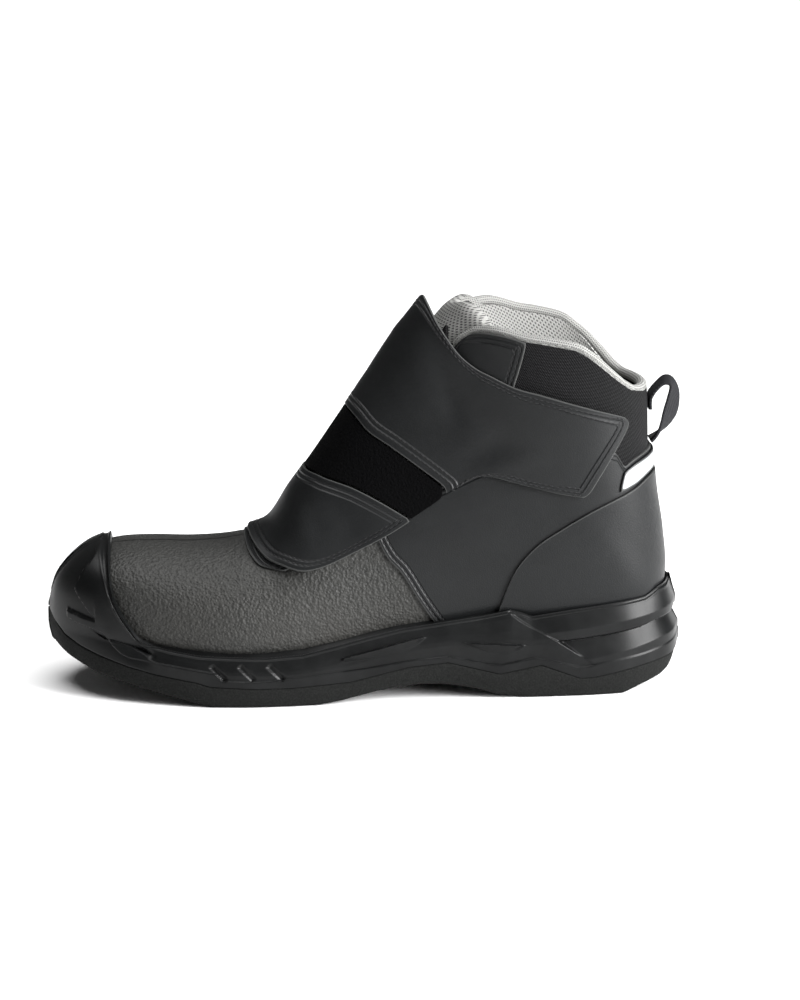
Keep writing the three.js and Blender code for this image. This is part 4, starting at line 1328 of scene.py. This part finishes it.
# Raised and pressed forms on the midsole and guard, along its surface's own direction
def relief(places):
    x, z = places[..., 0] / shoeLength, places[..., 2]
    up = z / lastHeight
    height = -facetDepth(x, z) + stepDepth * slashHeight(x, z)
    steps = np.linalg.norm(np.diff(places, axis=1), axis=-1)
    fromRim = np.concatenate([np.cumsum(steps[:, ::-1], 1)[:, ::-1], np.zeros((len(places), 1))], 1)
    toe = smooth(0.70, 0.74, x)
    shown = 1 - smooth(0.72, 0.78, x) * (1 - smooth(0, 16 * mm, places[..., 1]))
    front = np.interp(up, facetFront[:, 1], facetFront[:, 0])
    rear = np.interp(up, beadFront[:, 1], beadFront[:, 0])
    share = np.clip((x - rear) / np.maximum(front - rear, 0.002), 0, 1)
    deep = np.interp(up, facetDeep[:, 0], facetDeep[:, 1]) * mm
    shut = 1 - smooth(-0.2 * mm, 0.5 * mm, (x - front) * shoeLength)
    height = height - toe * shown * deep * share * shut
    beadWidth = mix(1.7 * mm, 3.4 * mm, smooth(0.71, 0.765, x))
    round = np.sqrt(np.clip(1 - (2 * fromRim / beadWidth - 1) ** 2, 0, 1))
    height = height + mix(0.35, 0.75, toe) * mm * round
    gutter = (fromRim - beadWidth - 0.5 * mm) / (0.6 * mm)
    height = height - mix(0.1, 0.22, toe) * mm * np.exp(-gutter ** 2)
    step = lineHeight(stepLine, x)
    lip = lineHeight(slotTop, x)
    slotDeep = np.interp(x, slotDepth[:, 0], slotDepth[:, 1]) * mm
    above = smooth(-0.2 * mm, 0.4 * mm, z - step)
    underLip, fading = 1 - smooth(-0.3 * mm, 0.4 * mm, z - lip), 1 - smooth(2 * mm, 16 * mm, z - step)
    fade = np.where(x > slotTop[0][0], underLip, fading)
    return height - slotDeep * shown * above * fade


# Where each column of the sole ends on the guard's rim, and how far it belongs to the guard
def guardRimLine(x, path):
    corner = guardRim[0][0]
    height = level(gap, guardThickness)
    toe = np.zeros(len(x))
    rimLine = np.zeros((len(x), 3))
    tip = int(np.argmax(x))
    for side in ("outer", "inner"):
        half = trace([guardRim], height, side, "ridge", 400)
        members = [i for i in range(len(x)) if x[i] > corner and (i <= tip) == (side == "outer")]
        members = members if side == "outer" else [tip, *members][::-1]
        lengths = np.concatenate([[0], np.cumsum(np.linalg.norm(np.diff(path[members], axis=0), axis=1))])
        shares = lengths / lengths[-1]
        along = np.stack([np.interp(shares, np.linspace(0, 1, len(half)), half[:, k]) for k in (0, 1)], -1)
        rimLine[members] = onLast(along[:, 0], along[:, 1], gap + guardThickness)
        toe[members] = smooth(0, 0.12, shares) + 1e-3
    return rimLine, toe


# One column over the guard: rays from inside the toe meet the dome or the wall, whichever is further
def guardColumn(flank, rimPoint, out, share, dome, wall, amount):
    low = flank[0]
    inner = np.array([low[0] - out[0] * 0.022, low[1] - out[1] * 0.022, low[2] + 0.006])
    middle = np.array([min(rimPoint[0], 0.215) - 0.005, 0.35 * rimPoint[1], 0.030])
    outward = np.array([out[0], out[1], 0])
    found = []
    for s in share:
        origin = mix(inner, middle, s ** 1.2)
        target = mix(low, rimPoint, s) + outward * 0.02 * math.sin(math.pi * s) * (1 - 0.3 * s)
        direction = unit(target - origin)
        hits = []
        for tree in (dome, wall):
            hit = tree.ray_cast(Vector(origin), Vector(direction), 0.2)
            hits.append(hit[3] if hit[0] is not None else 0.0)
        found.append(origin + direction * smoothMax(hits[0], hits[1], 2.5 * mm))
    found = np.array(found)
    found[-1], found[0] = rimPoint, low
    found = evenly(found, found, len(found))
    return mix(flank, found, min(amount, 1))


# The larger of two numbers, rounded where they are about the same
def smoothMax(one, two, soft):
    share = max(soft - abs(one - two), 0) / soft
    return max(one, two) + share * share * soft / 4


# The foot bed's height along the sole, which is the last's underside
def bedHeight(x):
    bed = lastRows[15:0:-1, :2]
    return lastHeight * np.interp(x, bed[:, 0], bed[:, 1])


# Closes the side surface: a lip, a wall hidden in the upper's thickness, and two floors
def soleSolid(places):
    mesh, index = gridMesh(200, 200)
    angle = around * index[:, 0] / 199
    setPlaces(mesh, onLast(0.02 + (endRow - 0.02) * index[:, 1] / 199, angle, -1.0 * mm))
    hidden = BVHTree.FromBMesh(mesh)
    mesh.free()
    rim = places[:, -1]
    centre = np.column_stack([np.clip(rim[:, 0], -0.02, 0.21), 0 * rim[:, 1], rim[:, 2]])
    inward = unit((centre - rim) * [1, 1, 0])
    rings = [rim, rim + inward * 0.9 * mm - [0, 0, 0.2 * mm], rim + inward * 1.5 * mm - [0, 0, 1.8 * mm]]
    for share in np.linspace(0.94, 0, 9):
        source = places[:, int(share * (places.shape[1] - 1))]
        near = np.array([hidden.find_nearest(Vector(point))[0] for point in source])
        near[:, 2] = np.maximum(near[:, 2], bedHeight(near[:, 0] / shoeLength) + bedLift)
        rings.append(near)
    mesh = bmesh.new()
    addRings(mesh, places)
    addRings(mesh, np.stack(rings, 1))
    addFloor(mesh, rings[-1], 8)
    addFloor(mesh, places[:, 0], 8)
    return welded(mesh)


addPiece("soleFoamBody", midsoleMesh(), [foam], ["midsole"], 50)


# How deep the tread's grooves are at points of its underside
def grooveDepth(points, path):
    depth = np.zeros(len(points))
    for side in (1, -1):
        for at in [*treadGrooves["forefoot"], *treadGrooves["heel"]]:
            dx = points[:, 0] - at * shoeLength
            dy = points[:, 1] - side * treadGrooves["middle"] * soleWidth
            turn = side * treadGrooves["slant"]
            across = dx * math.cos(turn) + dy * math.sin(turn)
            along = dy * math.cos(turn) - dx * math.sin(turn)
            cut = inBar(across, treadGrooves["width"] / 2, treadGrooves["soft"])
            cut = cut * inBar(along, treadGrooves["length"] * soleWidth / 2, treadGrooves["soft"])
            depth = np.maximum(depth, cut)
    near = np.array([np.min(np.linalg.norm(path - point, axis=1)) for point in points[:, :2]])
    border = smooth(treadGrooves["border"] - 0.4 * mm, treadGrooves["border"] + 0.4 * mm, near)
    return treadGrooves["depth"] * depth * border


def treadHeight(points, path):
    return lineHeight(treadLine, points[:, 0] / shoeLength) + grooveDepth(points, path)


# The rubber outsole: its wall round the path, the grooved tread and a plain top
def outsoleMesh():
    stations, rows = 401, 22
    path, out = solePath(stations)
    x = path[:, 0] / shoeLength
    high = lineHeight(soleBorder, x) - 0.15 * mm
    low = lineHeight(treadLine, x)
    side = []
    for i in range(len(path)):
        upper = np.concatenate([np.linspace(low[i] + 1.8 * mm, high[i] - 1.0 * mm, rows - 12)[1:],
                                high[i] - np.array([0.8, 0.5, 0.2, 0]) * mm])
        z = np.concatenate([low[i] + np.linspace(0, 1.8 * mm, 9), upper])
        bevel = 1 - np.sqrt(1 - (1 - np.clip((z - low[i]) / treadRound, 0, 1)) ** 2)
        draft = treadDraft["inset"] * np.clip(1 - (z - low[i]) / treadDraft["height"], 0, 1) ** 1.5
        turned = borderRound * (1 - smooth(0, borderRound, high[i] - z))
        inset = treadRound * bevel + draft + turned
        side.append(np.column_stack([path[i] - out[i] * inset[:, None], z]))
    side = np.array(side)
    mesh = bmesh.new()
    addRings(mesh, side)
    addFloor(mesh, side[:, 0], 130, lambda points: treadHeight(points, path[::2]))
    addFloor(mesh, side[:, -1], 8)
    return welded(mesh)


addPiece("soleTread", outsoleMesh(), [rubber], ["outsole"], 50)


# The sock: a plain sheet on the foot bed, as wide as the room inside the upper
def insoleMesh():
    stations, steps = np.linspace(-0.085, 0.835, 120), 40
    floor = bedHeight(stations) + sockLift
    top = floor + sockThickness
    table = np.stack([stations, (floor + top) / 2 / lastHeight], -1)
    inset = -upperWall - 2 * gap
    row, angle, lift = sideToLast(table, level(inset))
    outer, inner = onLast(row, angle, inset)[:, 1], onLast(row, -angle, inset)[:, 1]
    mesh, index, isFace = doubleGrid(len(stations), steps)
    i, share = index[:, 0], index[:, 1] / (steps - 1)
    z = np.where(isFace, top[i], floor[i])
    setPlaces(mesh, np.column_stack([shoeLength * stations[i], mix(inner[i], outer[i], share), z]))
    bmesh.ops.recalc_face_normals(mesh, faces=mesh.faces[:])
    return mesh


addPiece("innerSole", insoleMesh(), [felt], ["insole"], 50)


# The view: a long lens from the outer side, a little above, with angles in degrees
cameraLook = {
    "azimuth": 177, "elevation": 13, "distance": 1.8, "target": (94.9 * mm, 0, 89.1 * mm), "lens": 133.2,
    "sensor": 36,
}


def addCamera():
    azimuth, elevation = math.radians(cameraLook["azimuth"]), math.radians(cameraLook["elevation"])
    flat = math.cos(elevation)
    back = Vector((math.sin(azimuth) * flat, -math.cos(azimuth) * flat, math.sin(elevation)))
    data = bpy.data.cameras.new("camera")
    data.lens = cameraLook["lens"]
    data.sensor_width = cameraLook["sensor"]
    camera = bpy.data.objects.new("camera", data)
    camera.location = Vector(cameraLook["target"]) + back * cameraLook["distance"]
    camera.rotation_mode = "QUATERNION"
    camera.rotation_quaternion = (-back).to_track_quat("-Z", "Y")
    bpy.context.scene.collection.objects.link(camera)
    bpy.context.scene.camera = camera


# The studio: strengths, places and sizes of its lights, and its floor's grey
studioLook = {
    "world": 0.07, "floor": 0.92, "floorReach": 9, "aim": (0.1, 0, 0.07),
    "sky": 3.6, "skyAngle": 50, "skyPlace": (0.1, -0.1, 2), "skyAim": (0.1, 0, 0),
    "key": 96, "keyPlace": (-1.25, 0.80, 0.60), "keySize": (0.7, 1.0),
    "fill": 0.6, "fillPlace": (1.2, 1.0, 0.5), "fillSize": (0.4, 0.9),
}


def addLight(name, kind, place, aim, power):
    data = bpy.data.lights.new(name, kind)
    data.energy = power
    light = bpy.data.objects.new(name, data)
    light.location = place
    light.rotation_mode = "QUATERNION"
    light.rotation_quaternion = (Vector(aim) - Vector(place)).to_track_quat("-Z", "Y")
    bpy.context.scene.collection.objects.link(light)
    return data


def addStudio():
    mesh = bmesh.new()
    bmesh.ops.create_grid(mesh, x_segments=1, y_segments=1, size=studioLook["floorReach"])
    data = bpy.data.meshes.new("floor")
    mesh.to_mesh(data)
    mesh.free()
    made = Finish("floorPaint", baseColor=(studioLook["floor"],) * 3, roughness=0.9, specular=0.0)
    data.materials.append(made.material)
    floor = bpy.data.objects.new("floor", data)
    bpy.context.scene.collection.objects.link(floor)
    world = bpy.data.worlds.new("studio")
    world.use_nodes = True
    background = world.node_tree.nodes["Background"]
    background.inputs["Color"].default_value = (1, 1, 1, 1)
    background.inputs["Strength"].default_value = studioLook["world"]
    bpy.context.scene.world = world
    bpy.context.scene.view_settings.view_transform = "Standard"
    sky = addLight("sky", "SUN", studioLook["skyPlace"], studioLook["skyAim"], studioLook["sky"])
    sky.angle = math.radians(studioLook["skyAngle"])
    for name in ("key", "fill"):
        panel = addLight(name, "AREA", studioLook[name + "Place"], studioLook["aim"], studioLook[name])
        panel.shape = "RECTANGLE"
        panel.size, panel.size_y = studioLook[name + "Size"]


addCamera()
addStudio()
